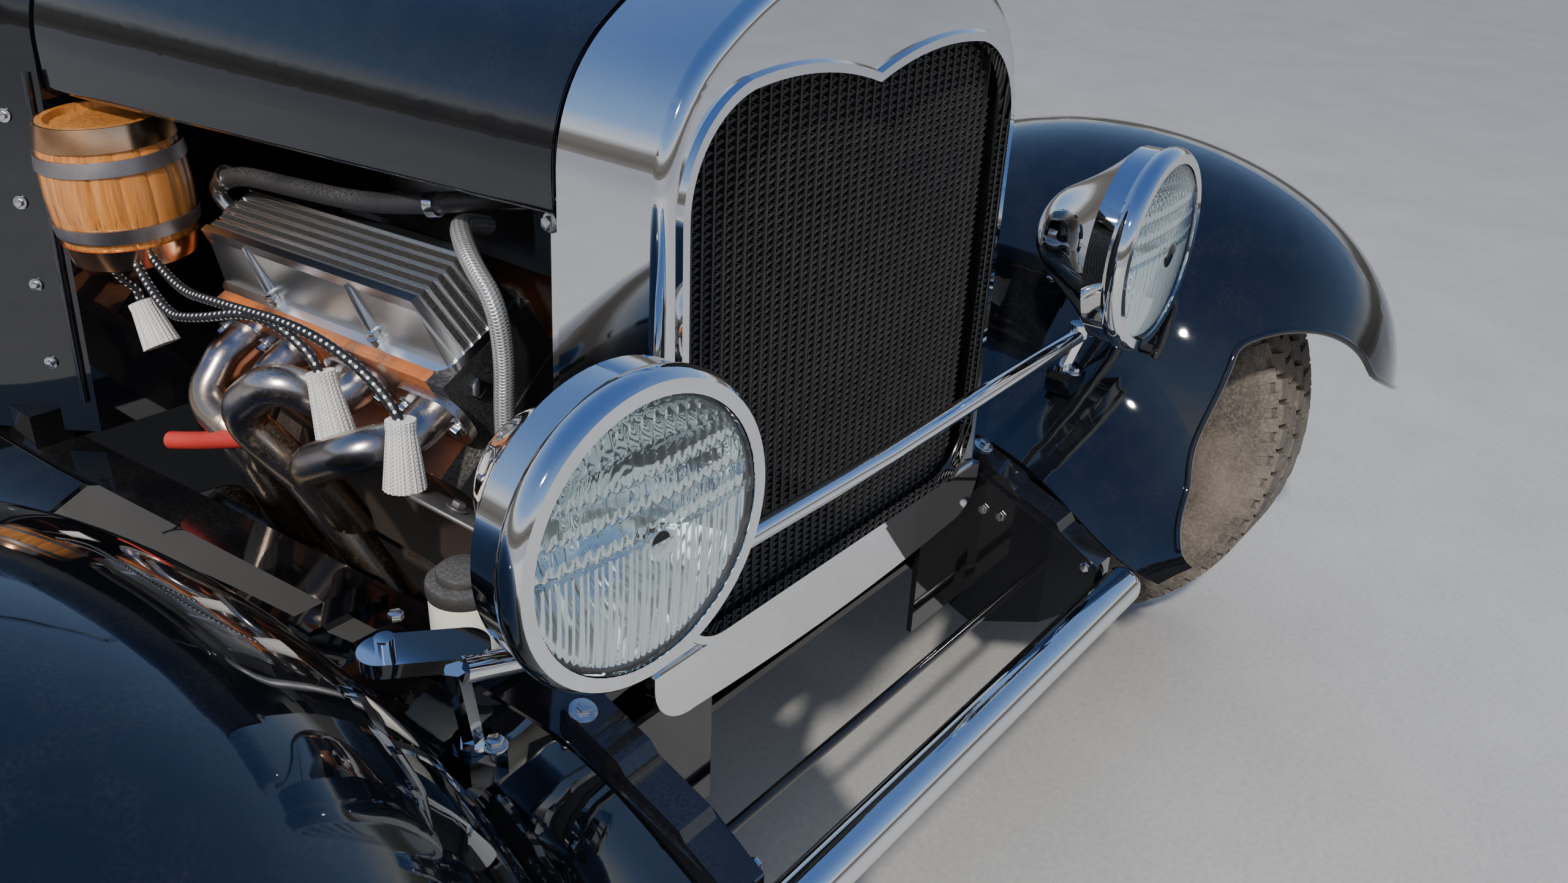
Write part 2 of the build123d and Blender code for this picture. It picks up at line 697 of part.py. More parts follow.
def shell_ring(rear_y, depth, outer_inset, inner_inset):
    """Band inside the shell's outline between two insets, open below, ending at rear_y."""
    band = extrude(shell_face(rear_y, outer_inset), amount=depth)
    band -= extrude(shell_face(rear_y + 1.0, inner_inset), amount=depth + 2.0)
    return band


def radiator_shell():
    front_y = GRILLE_Y - 2.0
    outer = extrude(shell_face(GRILLE_Y + SHELL_DEPTH - 4.0, 0), amount=SHELL_DEPTH - 2.0)
    front_edges = outer.faces().sort_by(Axis.Y)[0].edges()
    outer = fillet(front_edges, SHELL_FRONT_ROUND)
    inner = extrude(
        shell_face(GRILLE_Y + SHELL_DEPTH, SHELL_WALL), amount=SHELL_DEPTH - SHELL_WALL - 2.0
    )
    shell = outer - inner
    shell -= extrude(at_y(GRILLE_Y + 40) * opening_face(), amount=80)
    ring = extrude(at_y(front_y + 1) * opening_face(BEAD_WIDTH), amount=BEAD_HEIGHT + 1, taper=20)
    ring -= extrude(at_y(GRILLE_Y + 40) * opening_face(), amount=80)
    shell += ring
    shell += shell_ring(HOOD_FRONT_Y - 8.0, 14.0, SHEET + 0.6, FLANGE_STEP + SHEET)
    shell += shell_ring(HOOD_FRONT_Y + 12.0, 26.0, FLANGE_STEP, FLANGE_STEP + SHEET)
    for side in (-1, 1):
        x = side * (SHELL_HALF - HOOD_BEAD_R)
        shell -= rod((x, HOOD_FRONT_Y - 2, HOOD_LOW_Z), (x, HOOD_FRONT_Y + 30, HOOD_LOW_Z), HOOD_BEAD_R + 2)
    return shell + apron_panel()


def apron_panel():
    """Chrome valance under the grille, with round lower corners and a rolled foot."""
    half = SHELL_FOOT_HALF + 1
    top = OPENING_LOW - 6.0
    low = SHELL_FOOT_Z
    edges = [
        Line((-half, top), (half, top)),
        Line((half, top), (half, top - 12)),
        ThreePointArc((half, top - 12), (half - 14, top - 42), (half - 46, low + 8)),
        ThreePointArc((half - 46, low + 8), (0, low), (-half + 46, low + 8)),
        ThreePointArc((-half + 46, low + 8), (-half + 14, top - 42), (-half, top - 12)),
        Line((-half, top - 12), (-half, top)),
    ]
    return extrude(at_y(GRILLE_Y + 6) * make_face(edges), amount=10)


def radiator_core():
    back = box_between(
        -OPENING_HALF - 6,
        OPENING_HALF + 6,
        GRILLE_Y + CORE_SETBACK + TUBE_DEPTH,
        GRILLE_Y + CORE_SETBACK + CORE_DEPTH,
        OPENING_LOW - 8,
        OPENING_PEAK_Z + 8,
    )
    core = back
    count = int((2 * OPENING_HALF - 8) / TUBE_PITCH)
    for index in range(count):
        x = (index - (count - 1) / 2) * TUBE_PITCH
        core += box_between(
            x - TUBE_WIDTH / 2,
            x + TUBE_WIDTH / 2,
            GRILLE_Y + CORE_SETBACK,
            GRILLE_Y + CORE_SETBACK + TUBE_DEPTH + 1,
            OPENING_LOW - 8,
            OPENING_PEAK_Z + 8,
        )
    room = extrude(shell_face(GRILLE_Y + SHELL_DEPTH, SHELL_WALL + 1.0), amount=SHELL_DEPTH)
    return core & room


def hood_skin(inset):
    """Closed solid under the hood's outer skin, less inset, over the full hood length."""
    front = oval_face(
        HOOD_FRONT_Y + 1.0,
        SHELL_HALF - inset,
        SHELL_HALF - inset,
        HOOD_LOW_Z,
        SHELL_SHOULDER_Z,
        SHELL_TOP_Z - inset,
        SHELL_CORNER - inset,
    )
    rear = oval_face(
        COWL_Y - PANEL_GAP,
        HOOD_REAR_HALF - inset,
        HOOD_REAR_HALF - inset,
        HOOD_LOW_Z,
        HOOD_REAR_SHOULDER,
        HOOD_REAR_TOP - inset,
        HOOD_CORNER - inset,
    )
    return loft([front, rear], ruled=True)


def hinge_place():
    """Frame of the hood hinge: along the crown from shell to cowl."""
    start = Vector(HINGE_X, HOOD_FRONT_Y + 8, SHELL_TOP_Z + 1.5)
    end = Vector(HINGE_X, COWL_Y - 8, HOOD_REAR_TOP + 1.5)
    return start, end


def hood_half():
    skin = hood_skin(0) - hood_skin(SHEET)
    skin -= box_between(-400, HINGE_X + 6, COWL_Y, HOOD_FRONT_Y - 10, 0, 1200)
    half_front = SHELL_HALF - HOOD_BEAD_R
    half_rear = HOOD_REAR_HALF - HOOD_BEAD_R
    skin += rod(
        (half_front, HOOD_FRONT_Y + 1, HOOD_LOW_Z), (half_rear, COWL_Y - PANEL_GAP, HOOD_LOW_Z), HOOD_BEAD_R
    )
    start, end = hinge_place()
    fixed, moving = barrel_hinge((end - start).length, 5, 8, 14, HINGE_PIN_R, HINGE_KNUCKLE_R, 5.0, toward=-1)
    place = Plane(origin=start, x_dir=(-1, 0, 0), z_dir=end - start)
    return skin + place * moving, place * fixed


def hood_hinge():
    """Fixed middle of the hood hinge: strip, both pins and their knuckles."""
    skin, fixed = hood_half()
    start, end = hinge_place()
    strip = loft(
        [
            at_y(HOOD_FRONT_Y - 4.0 + SEAT_GAP) * Pos(0, SHELL_TOP_Z - 0.25) * Rectangle(12, 8.5),
            at_y(COWL_Y - SEAT_GAP) * Pos(0, HOOD_REAR_TOP - 0.25) * Rectangle(12, 8.5),
        ],
        ruled=True,
    )
    return strip + fixed + other_side(fixed)


# Body

# Body stations: y, half width at sill, half width at belt, belt z, top z, shoulder radius
BODY_STATIONS = [
    (COWL_Y, 318.0, 302.0, HOOD_REAR_SHOULDER, HOOD_REAR_TOP, HOOD_CORNER),
    (COWL_Y + 200.0, 440.0, 432.0, 900.0, 1000.0, 70.0),
    (DOOR_FRONT_Y, 498.0, 506.0, BELT_Z, BELT_TOP, 42.0),
    (DOOR_REAR_Y + 60.0, 520.0, 545.0, BELT_Z, BELT_TOP + 6.0, 44.0),
    (KICK_START_Y, 518.0, 546.0, 954.0, 1011.0, 48.0),
    (KICK_END_Y, 502.0, 532.0, 920.0, 984.0, 58.0),
    (REAR_AXLE_Y + 60.0, 480.0, 500.0, 838.0, 918.0, 72.0),
    (BODY_REAR_Y, 430.0, 440.0, 680.0, 760.0, 72.0),
]
BODY_SKIRT_Z = 400.0


def below_floor(inset):
    """Room under the flat floor, which steps up over the rear axle."""
    ahead = COWL_Y - 50.0
    behind = BODY_REAR_Y + 50.0
    profile = Polyline(
        (ahead, 0),
        (ahead, BODY_LOW + inset),
        (KICK_START_Y, BODY_LOW + inset),
        (KICK_END_Y, BODY_LOW_REAR + inset),
        (behind, BODY_LOW_REAR + inset),
        (behind, 0),
        close=True,
    )
    return extrude(Plane.YZ * make_face(profile), amount=800, both=True)


def body_solid(inset, front_cut=0.0, rear_cut=0.0):
    """The body as one closed solid, its sides smooth from cowl to tail, less an inset all round."""
    sections = []
    last = len(BODY_STATIONS) - 1
    for index, (y, low_half, belt_half, belt, top, corner) in enumerate(BODY_STATIONS):
        if index == 0:
            y += front_cut
        if index == last:
            y -= rear_cut
        sections.append(
            oval_face(y, low_half - inset, belt_half - inset, BODY_SKIRT_Z, belt, top - inset, corner - inset)
        )
    return loft(sections, ruled=False) - below_floor(inset)


def door_box(gap):
    return box_between(
        380, 700, DOOR_FRONT_Y + gap, DOOR_REAR_Y - gap, BODY_LOW + WALL + 12.0 + gap, BELT_TOP + 90
    )


DECK_HALF = 370.0
DECK_FRONT_Y = COCKPIT_REAR_Y + 110.0
DECK_REAR_Y = REAR_AXLE_Y + 250.0


def deck_box(gap):
    return box_between(
        -DECK_HALF + gap, DECK_HALF - gap, DECK_FRONT_Y + gap, DECK_REAR_Y - gap, BODY_LOW_REAR + 60, 1100
    )


def cockpit_cut():
    middle_y = (DOOR_FRONT_Y - 60.0 + COCKPIT_REAR_Y) / 2
    span = COCKPIT_REAR_Y - (DOOR_FRONT_Y - 60.0)
    plan = Plane.XY.offset(BELT_Z - 40) * Pos(0, middle_y) * RectangleRounded(2 * COCKPIT_HALF, span, 70)
    return extrude(plan, amount=200)


COLUMN_R = 22.0


def column_ends():
    top = Vector(262, DOOR_FRONT_Y + 215, 985)
    low = Vector(262, COWL_Y - 20, 540)
    return low, top


def body_parts():
    outer = body_solid(0)
    inner = body_solid(WALL, FIREWALL, WALL)
    skin = outer - inner - cockpit_cut()
    door = skin & door_box(PANEL_GAP)
    lid = skin & deck_box(PANEL_GAP)
    tub = skin - door_box(0) - other_side(door_box(0)) - deck_box(0)
    low, top = column_ends()
    tub -= rod(low, top, COLUMN_R + 6.0)
    return tub, door, lid


# Fenders

# Front fender stations, taken round the fender's own centre behind and below the crown:
# turn from straight ahead (degrees), ridge radius, lip radius, inner edge radius, inner edge x
FRONT_FENDER_STATIONS = [
    (0.0, 441.0, 430.0, 330.0, 316.0),
    (22.0, 449.0, 400.0, 190.0, 318.0),
    (45.0, 428.0, 365.0, 130.0, 322.0),
    (70.0, 382.0, 330.0, 100.0, 328.0),
    (95.0, 360.0, 322.0, 95.0, 336.0),
    (120.0, 362.0, 330.0, 107.0, 346.0),
    (142.0, 382.0, 352.0, 150.0, 358.0),
    (160.0, 428.0, 400.0, 262.0, 372.0),
    (174.0, 476.0, 462.0, 420.0, 384.0),
]
FENDER_CENTRE_Z = 332.0
FRONT_RIDGE_X = 696.0
FRONT_LIP_X = 838.0

# Rear fender stations: the same columns
REAR_FENDER_STATIONS = [
    (4.0, 505.0, 490.0, 470.0, 520.0),
    (25.0, 448.0, 425.0, 400.0, 500.0),
    (55.0, 420.0, 392.0, 360.0, 490.0),
    (90.0, 415.0, 385.0, 350.0, 480.0),
    (125.0, 420.0, 390.0, 350.0, 468.0),
    (155.0, 430.0, 402.0, 360.0, 460.0),
    (185.0, 440.0, 415.0, 375.0, 458.0),
]
REAR_RIDGE_X = 705.0
REAR_LIP_X = 868.0


def fender_section(ridge_r, lip_r, inner_r, inner_x, ridge_x, lip_x, thick):
    """Closed thin section in a radial plane: own x along +X, own y outward."""
    mid_x = inner_x + 0.36 * (ridge_x - inner_x)
    mid_r = inner_r + 0.44 * (ridge_r - inner_r)

    def skin(drop):
        crown = TangentArc((ridge_x, ridge_r - drop), (mid_x + drop * 0.9, mid_r - drop * 0.5), tangent=(-1, 0))
        foot = TangentArc(crown @ 1, (inner_x, inner_r - drop), tangent=crown % 1)
        lip = TangentArc((ridge_x, ridge_r - drop), (lip_x - drop * 0.8, lip_r - drop * 0.6), tangent=(1, 0))
        return crown, foot, lip

    crown, foot, lip = skin(0)
    crown_in, foot_in, lip_in = skin(thick)
    edges = [crown, foot, lip, crown_in, foot_in, lip_in]
    edges.append(Line(foot @ 1, foot_in @ 1))
    edges.append(Line(lip @ 1, lip_in @ 1))
    return make_face(edges)


def fender_sheet(stations, centre_y, centre_z, ridge_x, lip_x, thick):
    sections = []
    for turn, ridge_r, lip_r, inner_r, inner_x in stations:
        angle = math.radians(turn)
        outward = Vector(0, -math.cos(angle), math.sin(angle))
        plane = Plane(
            origin=(0, centre_y, centre_z), x_dir=(1, 0, 0), z_dir=Vector(1, 0, 0).cross(outward)
        )
        sections.append(plane * fender_section(ridge_r, lip_r, inner_r, inner_x, ridge_x, lip_x, thick))
    return loft(sections, ruled=False)


def front_fender():
    sheet = fender_sheet(
        FRONT_FENDER_STATIONS, FRONT_AXLE_Y, FENDER_CENTRE_Z, FRONT_RIDGE_X, FRONT_LIP_X, SHEET
    )
    # Front view of the room cut away below the fender's front edge: an arch over the tyre, then the horn
    tip = (838.0, 412.0)
    arch_out = (641.0, 487.0)
    arch_in = (506.0, 532.0)
    heel = (438.0, 386.0)
    foot = (330.0, 322.0)
    edges = [
        Line((900, 385), tip),
        ThreePointArc(tip, (730, 446), arch_out),
        ThreePointArc(arch_out, (563, 547), arch_in),
        ThreePointArc(arch_in, (466, 456), heel),
        ThreePointArc(heel, (392, 342), foot),
        Line(foot, (200, 312)),
        Line((200, 312), (200, 0)),
        Line((200, 0), (900, 0)),
        Line((900, 0), (900, 385)),
    ]
    sheet -= extrude(at_y(FRONT_AXLE_Y) * make_face(edges), amount=600)
    for turn, _, _, inner_r, inner_x in FRONT_FENDER_STATIONS[3:7]:
        y = FRONT_AXLE_Y - inner_r * math.cos(math.radians(turn))
        z = FENDER_CENTRE_Z + inner_r * math.sin(math.radians(turn))
        x = rail_at(y)[0]
        top = rail_at(y + 14)[2]
        sheet += box_between(x - 10, inner_x + 14, y - 14, y + 14, top + SEAT_GAP, z + 8)
    sheet += box_between(
        LAMP_FOOT_X - 15, LAMP_FOOT_X + 15, LAMP_FOOT_Y - 15, LAMP_FOOT_Y + 15, LAMP_FOOT_Z - 26, LAMP_FOOT_Z
    )
    return sheet


def rear_fender(body_room):
    sheet = fender_sheet(
        REAR_FENDER_STATIONS, REAR_AXLE_Y, REAR_TYRE_R, REAR_RIDGE_X, REAR_LIP_X, SHEET
    )
    return sheet - body_room


BOARD_Z = 318.0
BOARD_THICK = 26.0


def apron_section(y, inner_x):
    """Thin sloped section of the splash apron, from under the sill down to the board."""
    corners = [(inner_x, FRAME_TOP - 8), (inner_x + 3, FRAME_TOP - 4), (600, BOARD_Z), (600, BOARD_Z - 5)]
    return at_y(y) * make_face(Polyline(*corners, close=True))


def running_board(body_room):
    front_y = FRONT_AXLE_Y + 486.0
    rear_y = REAR_AXLE_Y - 512.0
    board = box_between(598, 838, front_y, rear_y, BOARD_Z - BOARD_THICK, BOARD_Z)
    stations = [front_y, COWL_Y, KICK_START_Y, rear_y]
    sections = [apron_section(y, rail_at(y)[0] + RAIL_WIDTH / 2 + SEAT_GAP) for y in stations]
    apron = loft(sections, ruled=True)
    return board + apron - body_room


# Lamps


LAMP_TAIL_R = 56.0
LAMP_TAIL_TURN = 60.0


def bowl_curve(inset):
    """Bowl profile about X, from its tail on the axis to the rim seat: a ball end and a long arc."""
    ball = LAMP_TAIL_R - inset
    centre = LAMP_BOWL_DEPTH - LAMP_TAIL_R
    turn = math.radians(LAMP_TAIL_TURN)
    join = (centre + ball * math.cos(turn), ball * math.sin(turn))
    tail = ThreePointArc(
        (centre + ball, 0), (centre + ball * math.cos(turn / 2), ball * math.sin(turn / 2)), join
    )
    flank = TangentArc(join, (40, LAMP_RIM_R - 4 - inset), tangent=(-math.sin(turn), math.cos(turn)))
    return tail, flank


def lamp_bowl():
    """Headlamp bowl and stepped rim round +Y, hollow, its front at the origin."""
    rim_r = LAMP_RIM_R
    lip_r = LAMP_LENS_R - 2
    seat_r = rim_r - 4
    tail, flank = bowl_curve(0)
    tail_in, flank_in = bowl_curve(LAMP_WALL)
    profile = [
        Line((0, lip_r), (4, lip_r)),
        Line((4, lip_r), (12, seat_r - 4)),
        Line((12, seat_r - 4), (40, seat_r - LAMP_WALL)),
        flank_in,
        tail_in,
        Line(tail_in @ 0, tail @ 0),
        tail,
        flank,
        Line((40, seat_r), (20, seat_r)),
        Line((20, seat_r), (18, rim_r - 2)),
        ThreePointArc((18, rim_r - 2), (9, rim_r), (0, rim_r - 5)),
        Line((0, rim_r - 5), (0, lip_r)),
    ]
    return Rot(0, 0, 90) * revolve(make_face(profile), axis=Axis.X)


def lamp_place():
    return Pos(LAMP_X, LAMP_FRONT_Y, LAMP_Z) * Rot(0, 0, LAMP_TOE)


def lamp_lens():
    """Domed lens 0.4 mm inside the rim's lip."""
    edge = LAMP_LENS_R - 2.4
    profile = [
        Line((-8, 0), (-3, 0)),
        dome_arc(-3, 6, edge),
        Line((6, edge), (1, edge)),
        dome_arc(-8, 1, edge),
    ]
    return Rot(0, 0, 90) * revolve(make_face(profile), axis=Axis.X)


def headlamp_bar():
    """Bar between the fenders: posts under the bowls, turned-up ends with oval pads, and a strut to each fender."""
    y = LAMP_BAR_Y
    z = LAMP_BAR_Z
    end_y = y + 12
    end_z = z + LAMP_BAR_END_RISE
    route = [
        (-LAMP_BAR_HALF, end_y, end_z),
        (-LAMP_BAR_BEND_X, y, z + 6),
        (0, y, z),
        (LAMP_BAR_BEND_X, y, z + 6),
        (LAMP_BAR_HALF, end_y, end_z),
    ]
    bar = bent_bar(route, 60, LAMP_BAR_R)
    for side in (-1, 1):
        bar += rod((side * LAMP_X, y, z + 4), (side * LAMP_X, y, LAMP_POST_Z), 10.0)
        pad_place = Pos(side * (LAMP_BAR_HALF + 6), y + 40, end_z + 2) * Rot(0, 0, -side * 50)
        bar += extrude(pad_place * RectangleRounded(32, 78, 15.9), amount=5, both=True)
        bar += pad_place * Pos(0, 22, 8) * Cylinder(6, 12)
        foot = Plane(
            origin=(side * LAMP_FOOT_X, LAMP_FOOT_Y, LAMP_FOOT_Z + SEAT_GAP), x_dir=(1, 0, 0), z_dir=(0, 0, 1)
        )
        bar += extrude(foot * Circle(13), amount=5)
        head = Plane(
            origin=(side * (LAMP_BAR_HALF + 2), end_y + 4, end_z), x_dir=(1, 0, 0), z_dir=(0, 0, 1)
        )
        bar += loft([foot * Pos(0, 0, 4) * RegularPolygon(8, 6), head * RegularPolygon(8, 6)], ruled=True)
    return bar


# Windshield


def windshield():
    lean = Plane(
        origin=(0, DOOR_FRONT_Y - 95.0, BELT_TOP + 14),
        x_dir=(1, 0, 0),
        z_dir=Vector(0, -1, 0).rotate(Axis.X, -SCREEN_RAKE),
    )
    outline = RectangleRounded(2 * SCREEN_HALF, SCREEN_HEIGHT, 30)
    hole = RectangleRounded(2 * SCREEN_HALF - 36, SCREEN_HEIGHT - 36, 14)
    flat = Pos(0, SCREEN_HEIGHT / 2) * (outline - hole)
    frame_solid = extrude(lean * flat, amount=9, both=True)
    slot = Pos(0, SCREEN_HEIGHT / 2) * RectangleRounded(2 * SCREEN_HALF - 24, SCREEN_HEIGHT - 24, 20)
    frame_solid -= extrude(lean * slot, amount=GLASS_THICK / 2 + 0.15, both=True)
    pane = Pos(0, SCREEN_HEIGHT / 2) * RectangleRounded(2 * SCREEN_HALF - 24.6, SCREEN_HEIGHT - 24.6, 19.7)
    glass = extrude(lean * pane, amount=GLASS_THICK / 2, both=True)
    post_base = DOOR_FRONT_Y - 95.0
    for side in (-1, 1):
        post = box_between(
            side * (SCREEN_HALF + 1), side * (SCREEN_HALF - 11), post_base - 22, post_base + 30, BELT_Z + 28, BELT_TOP + 60
        )
        frame_solid += post
    return frame_solid, glass


# Engine


def engine_block():
    length = ENGINE_REAR_Y - ENGINE_FRONT_Y
    mid = (ENGINE_REAR_Y + ENGINE_FRONT_Y) / 2
    block = box_between(-150, 150, ENGINE_FRONT_Y, ENGINE_REAR_Y, CRANK_Z - 20, CRANK_Z + 120)
    head = cover_place() * box_between(-COVER_WIDTH / 2, HEAD_OUT, 0, COVER_LENGTH, -HEAD_DEPTH, -SEAT_GAP)
    for side in (-1, 1):
        bank = Pos(0, mid, CRANK_Z) * Rot(0, side * BANK_ANGLE, 0) * Pos(0, 0, HEAD_TOP / 2) * Box(
            HEAD_WIDTH, length, HEAD_TOP
        )
        block += bank
    block += head + other_side(head)
    block += box_between(
        -75, 75, ENGINE_FRONT_Y + 20, ENGINE_REAR_Y - 20, CRANK_Z + 100, CRANK_Z + INTAKE_RISE - SEAT_GAP
    )
    block += box_between(-110, 110, ENGINE_FRONT_Y + 10, ENGINE_REAR_Y, CRANK_Z - 60, CRANK_Z - 20)
    block += box_between(-120, 120, ENGINE_FRONT_Y + 190, ENGINE_REAR_Y, CRANK_Z - 140, CRANK_Z - 60)
    block += rod((0, ENGINE_REAR_Y - 1, CRANK_Z), (0, COWL_Y - 8, CRANK_Z), 165.0)
    return block


def gearbox():
    body = box_between(-95, 95, COWL_Y - 8 + SEAT_GAP, COWL_Y + 260, CRANK_Z - 85, CRANK_Z + 70)
    body += box_between(-60, 60, COWL_Y + 259, GEARBOX_REAR_Y, GEARBOX_TAIL_LOW, CRANK_Z + 45)
    return body


def long_rib(x, width, proud):
    """Rib along the cover that bends down both sloped ends, standing proud of the cover's skin."""
    reach = COVER_LENGTH - 4.0
    top = COVER_HEIGHT + proud
    profile = Polyline(
        (4.0 - proud / 2, FLANGE_THICK - 1),
        (COVER_SLOPE - proud / 2, top),
        (COVER_LENGTH - COVER_SLOPE + proud / 2, top),
        (reach + proud / 2, FLANGE_THICK - 1),
        close=True,
    )
    return Pos(x, 0, 0) * extrude(Plane.YZ * make_face(profile), amount=width / 2, both=True)


def valve_cover():
    """Left finned cover, local: x across, y along the engine from its front end, z away from the head."""
    middle = COVER_LENGTH / 2
    flange = extrude(Pos(0, middle) * RectangleRounded(COVER_WIDTH, COVER_LENGTH, 16), amount=FLANGE_THICK)
    top = loft(
        [
            Pos(0, middle, FLANGE_THICK - 1) * Rectangle(COVER_WIDTH - 16, COVER_LENGTH - 8),
            Pos(0, middle, COVER_HEIGHT) * Rectangle(COVER_TOP_WIDTH, COVER_LENGTH - 2 * COVER_SLOPE),
        ],
        ruled=True,
    )
    cover = flange + top
    pitch = (COVER_TOP_WIDTH - 2 * RAIL_TUBE_R - 4) / FIN_COUNT
    for index in range(FIN_COUNT):
        x = (index - (FIN_COUNT - 1) / 2) * pitch
        cover += long_rib(x, FIN_WIDTH, FIN_HEIGHT)
    rail_x = COVER_TOP_WIDTH / 2 - RAIL_TUBE_R / 2
    for side in (-1, 1):
        cover += long_rib(side * rail_x, 2 * RAIL_TUBE_R - 3, FIN_HEIGHT + 2)
    for part in GUSSETS:
        foot_y = COVER_LENGTH * part
        cover += rod(
            (rail_x + 1, foot_y + 16, COVER_HEIGHT - 2), (COVER_WIDTH / 2 - 5, foot_y, FLANGE_THICK), GUSSET_R
        )
        cover += Pos(COVER_WIDTH / 2 - 7, foot_y, FLANGE_THICK + 3) * Cylinder(7, 8)
    return cover


GUSSETS = [0.27, 0.72]


def cover_place():
    """Frame of the left valve cover: x out and down across the head, y rearward, z away from the head."""
    return Pos(COVER_X, COVER_FRONT_Y, COVER_Z) * Rot(-ENGINE_TILT, 0, 0) * Rot(0, COVER_ANGLE, 0)


# Header pipes of the left side. Each row: y of the port, then points x, y, z of the pipe, y from the grille
HEADER_R = 18.0
HEADER_BEND = 27.0
LOG_R = 25.0
LOG_X = 246.0
LOG_Z = 358.0
LOG_FRONT = 290.0
LOG_TURN = 590.0
HEADER_PIPES = [
    (30.0, [(302.0, 262.0, 562.0), (307.0, 326.0, 528.0), (260.0, 350.0, 448.0), (LOG_X, 372.0, LOG_Z)]),
    (130.0, [(300.0, 372.0, 590.0), (310.0, 428.0, 545.0), (276.0, 388.0, 482.0), (LOG_X, 300.0, LOG_Z + 6)]),
    (232.0, [(280.0, 466.0, 500.0), (LOG_X, 470.0, LOG_Z)]),
    (306.0, [(290.0, 520.0, 520.0), (286.0, 480.0, 500.0), (LOG_X, 440.0, LOG_Z)]),
]
COLLECTOR_END = (LOG_X, COWL_Y - 30.0, 322.0)


def port_at(along, out):
    """Point on the line out of an exhaust port, a distance from the head's face, in the car's frame."""
    spot = cover_place() * Pos(HEAD_OUT + out, along, -PORT_DROP)
    return spot.position


def headers():
    """Left exhaust header: four pipes with oval flanges, gathered in one log under the head."""
    log = [(LOG_X, GRILLE_Y + LOG_FRONT, LOG_Z), (LOG_X, GRILLE_Y + LOG_TURN, LOG_Z), COLLECTOR_END]
    pipes = bent_bar(log, 60, LOG_R) + Pos(LOG_X, GRILLE_Y + LOG_FRONT, LOG_Z) * Sphere(LOG_R)
    for along, route in HEADER_PIPES:
        points = [port_at(along, 4.0), port_at(along, 34.0)]
        points += [(x, GRILLE_Y + y, z) for x, y, z in route]
        pipes += bent_bar(points, HEADER_BEND, HEADER_R)
        face = cover_place() * Pos(HEAD_OUT + SEAT_GAP, along, -PORT_DROP) * Rot(0, 90, 0)
        pipes += extrude(face * RectangleRounded(50, 84, 22), amount=8)
    return pipes


def exhaust_pipes():
    """Left pipe and muffler, from 0.5 mm behind the header to the tail."""
    end = Vector(*COLLECTOR_END)
    run = (end - Vector(LOG_X, GRILLE_Y + LOG_TURN, LOG_Z)).normalized()
    start = end + run * 0.5
    points = [
        start,
        start + run * 70,
        (LOG_X, COWL_Y + 170, 248),
        (LOG_X - 10, DOOR_FRONT_Y + 60, 248),
        (LOG_X - 10, REAR_AXLE_Y - 300, 248),
        (LOG_X + 20, REAR_AXLE_Y + 350, 262),
    ]
    pipe = bent_bar(points, 60, 24.0)
    x = LOG_X - 10
    return pipe + rod((x, DOOR_FRONT_Y + 120, 248), (x, DOOR_REAR_Y - 60, 248), 60)


def intake():
    mid = (ENGINE_REAR_Y + ENGINE_FRONT_Y) / 2
    body = box_between(-85, 85, ENGINE_FRONT_Y + 20, ENGINE_REAR_Y - 20, CRANK_Z + INTAKE_RISE, CRANK_Z + 300)
    body += box_between(-60, 60, mid - 90, mid + 90, CRANK_Z + 300, CRANK_Z + 350)
    body += Pos(0, mid, CRANK_Z + 390) * Cylinder(120, 80)
    return body


def fan_and_pulleys():
    y = ENGINE_FRONT_Y
    body = rod((0, y - 4, CRANK_Z), (0, y - 26, CRANK_Z), 72)
    body += rod((0, y - 0.3, CRANK_Z), (0, y - 8, CRANK_Z), 30)
    top = CRANK_Z + 210
    body += rod((0, y - 0.3, top), (0, y - 60, top), 34)
    body += rod((0, y - 30, top), (0, y - 52, top), 66)
    belt = box_between(-8, 8, y - 26, y - 4, CRANK_Z + 40, top - 20)
    body += box_between(-60, 60, y - 30.0, y - 0.3, CRANK_Z + 125, top - 10)
    for index in range(6):
        blade = Pos(0, y - 66, top) * Rot(0, index * 60, 0) * Pos(0, 0, 90) * Rot(0, 0, 25) * Box(50, 2.5, 120)
        body += blade
    body += rod((0, y - 55, top), (0, y - 72, top), 40)
    return body + belt


# Keg on the firewall
KEG_X = -281.0
KEG_Y = COWL_Y - 67.0
KEG_Z = 699.0
KEG_R = 62.0
KEG_END_R = 52.0
KEG_LENGTH = 128.0


def keg_profile(r_mid, r_end, half):
    return [
        Line((0, -half), (r_end, -half)),
        ThreePointArc((r_end, -half), (r_mid, 0), (r_end, half)),
        Line((r_end, half), (0, half)),
        Line((0, half), (0, -half)),
    ]


def keg_place():
    return Pos(KEG_X, KEG_Y, KEG_Z) * Rot(0, -4, 0)


def keg():
    wood = revolve(Plane.XZ * make_face(keg_profile(KEG_R, KEG_END_R, KEG_LENGTH / 2)), axis=Axis.Z)
    return keg_place() * wood


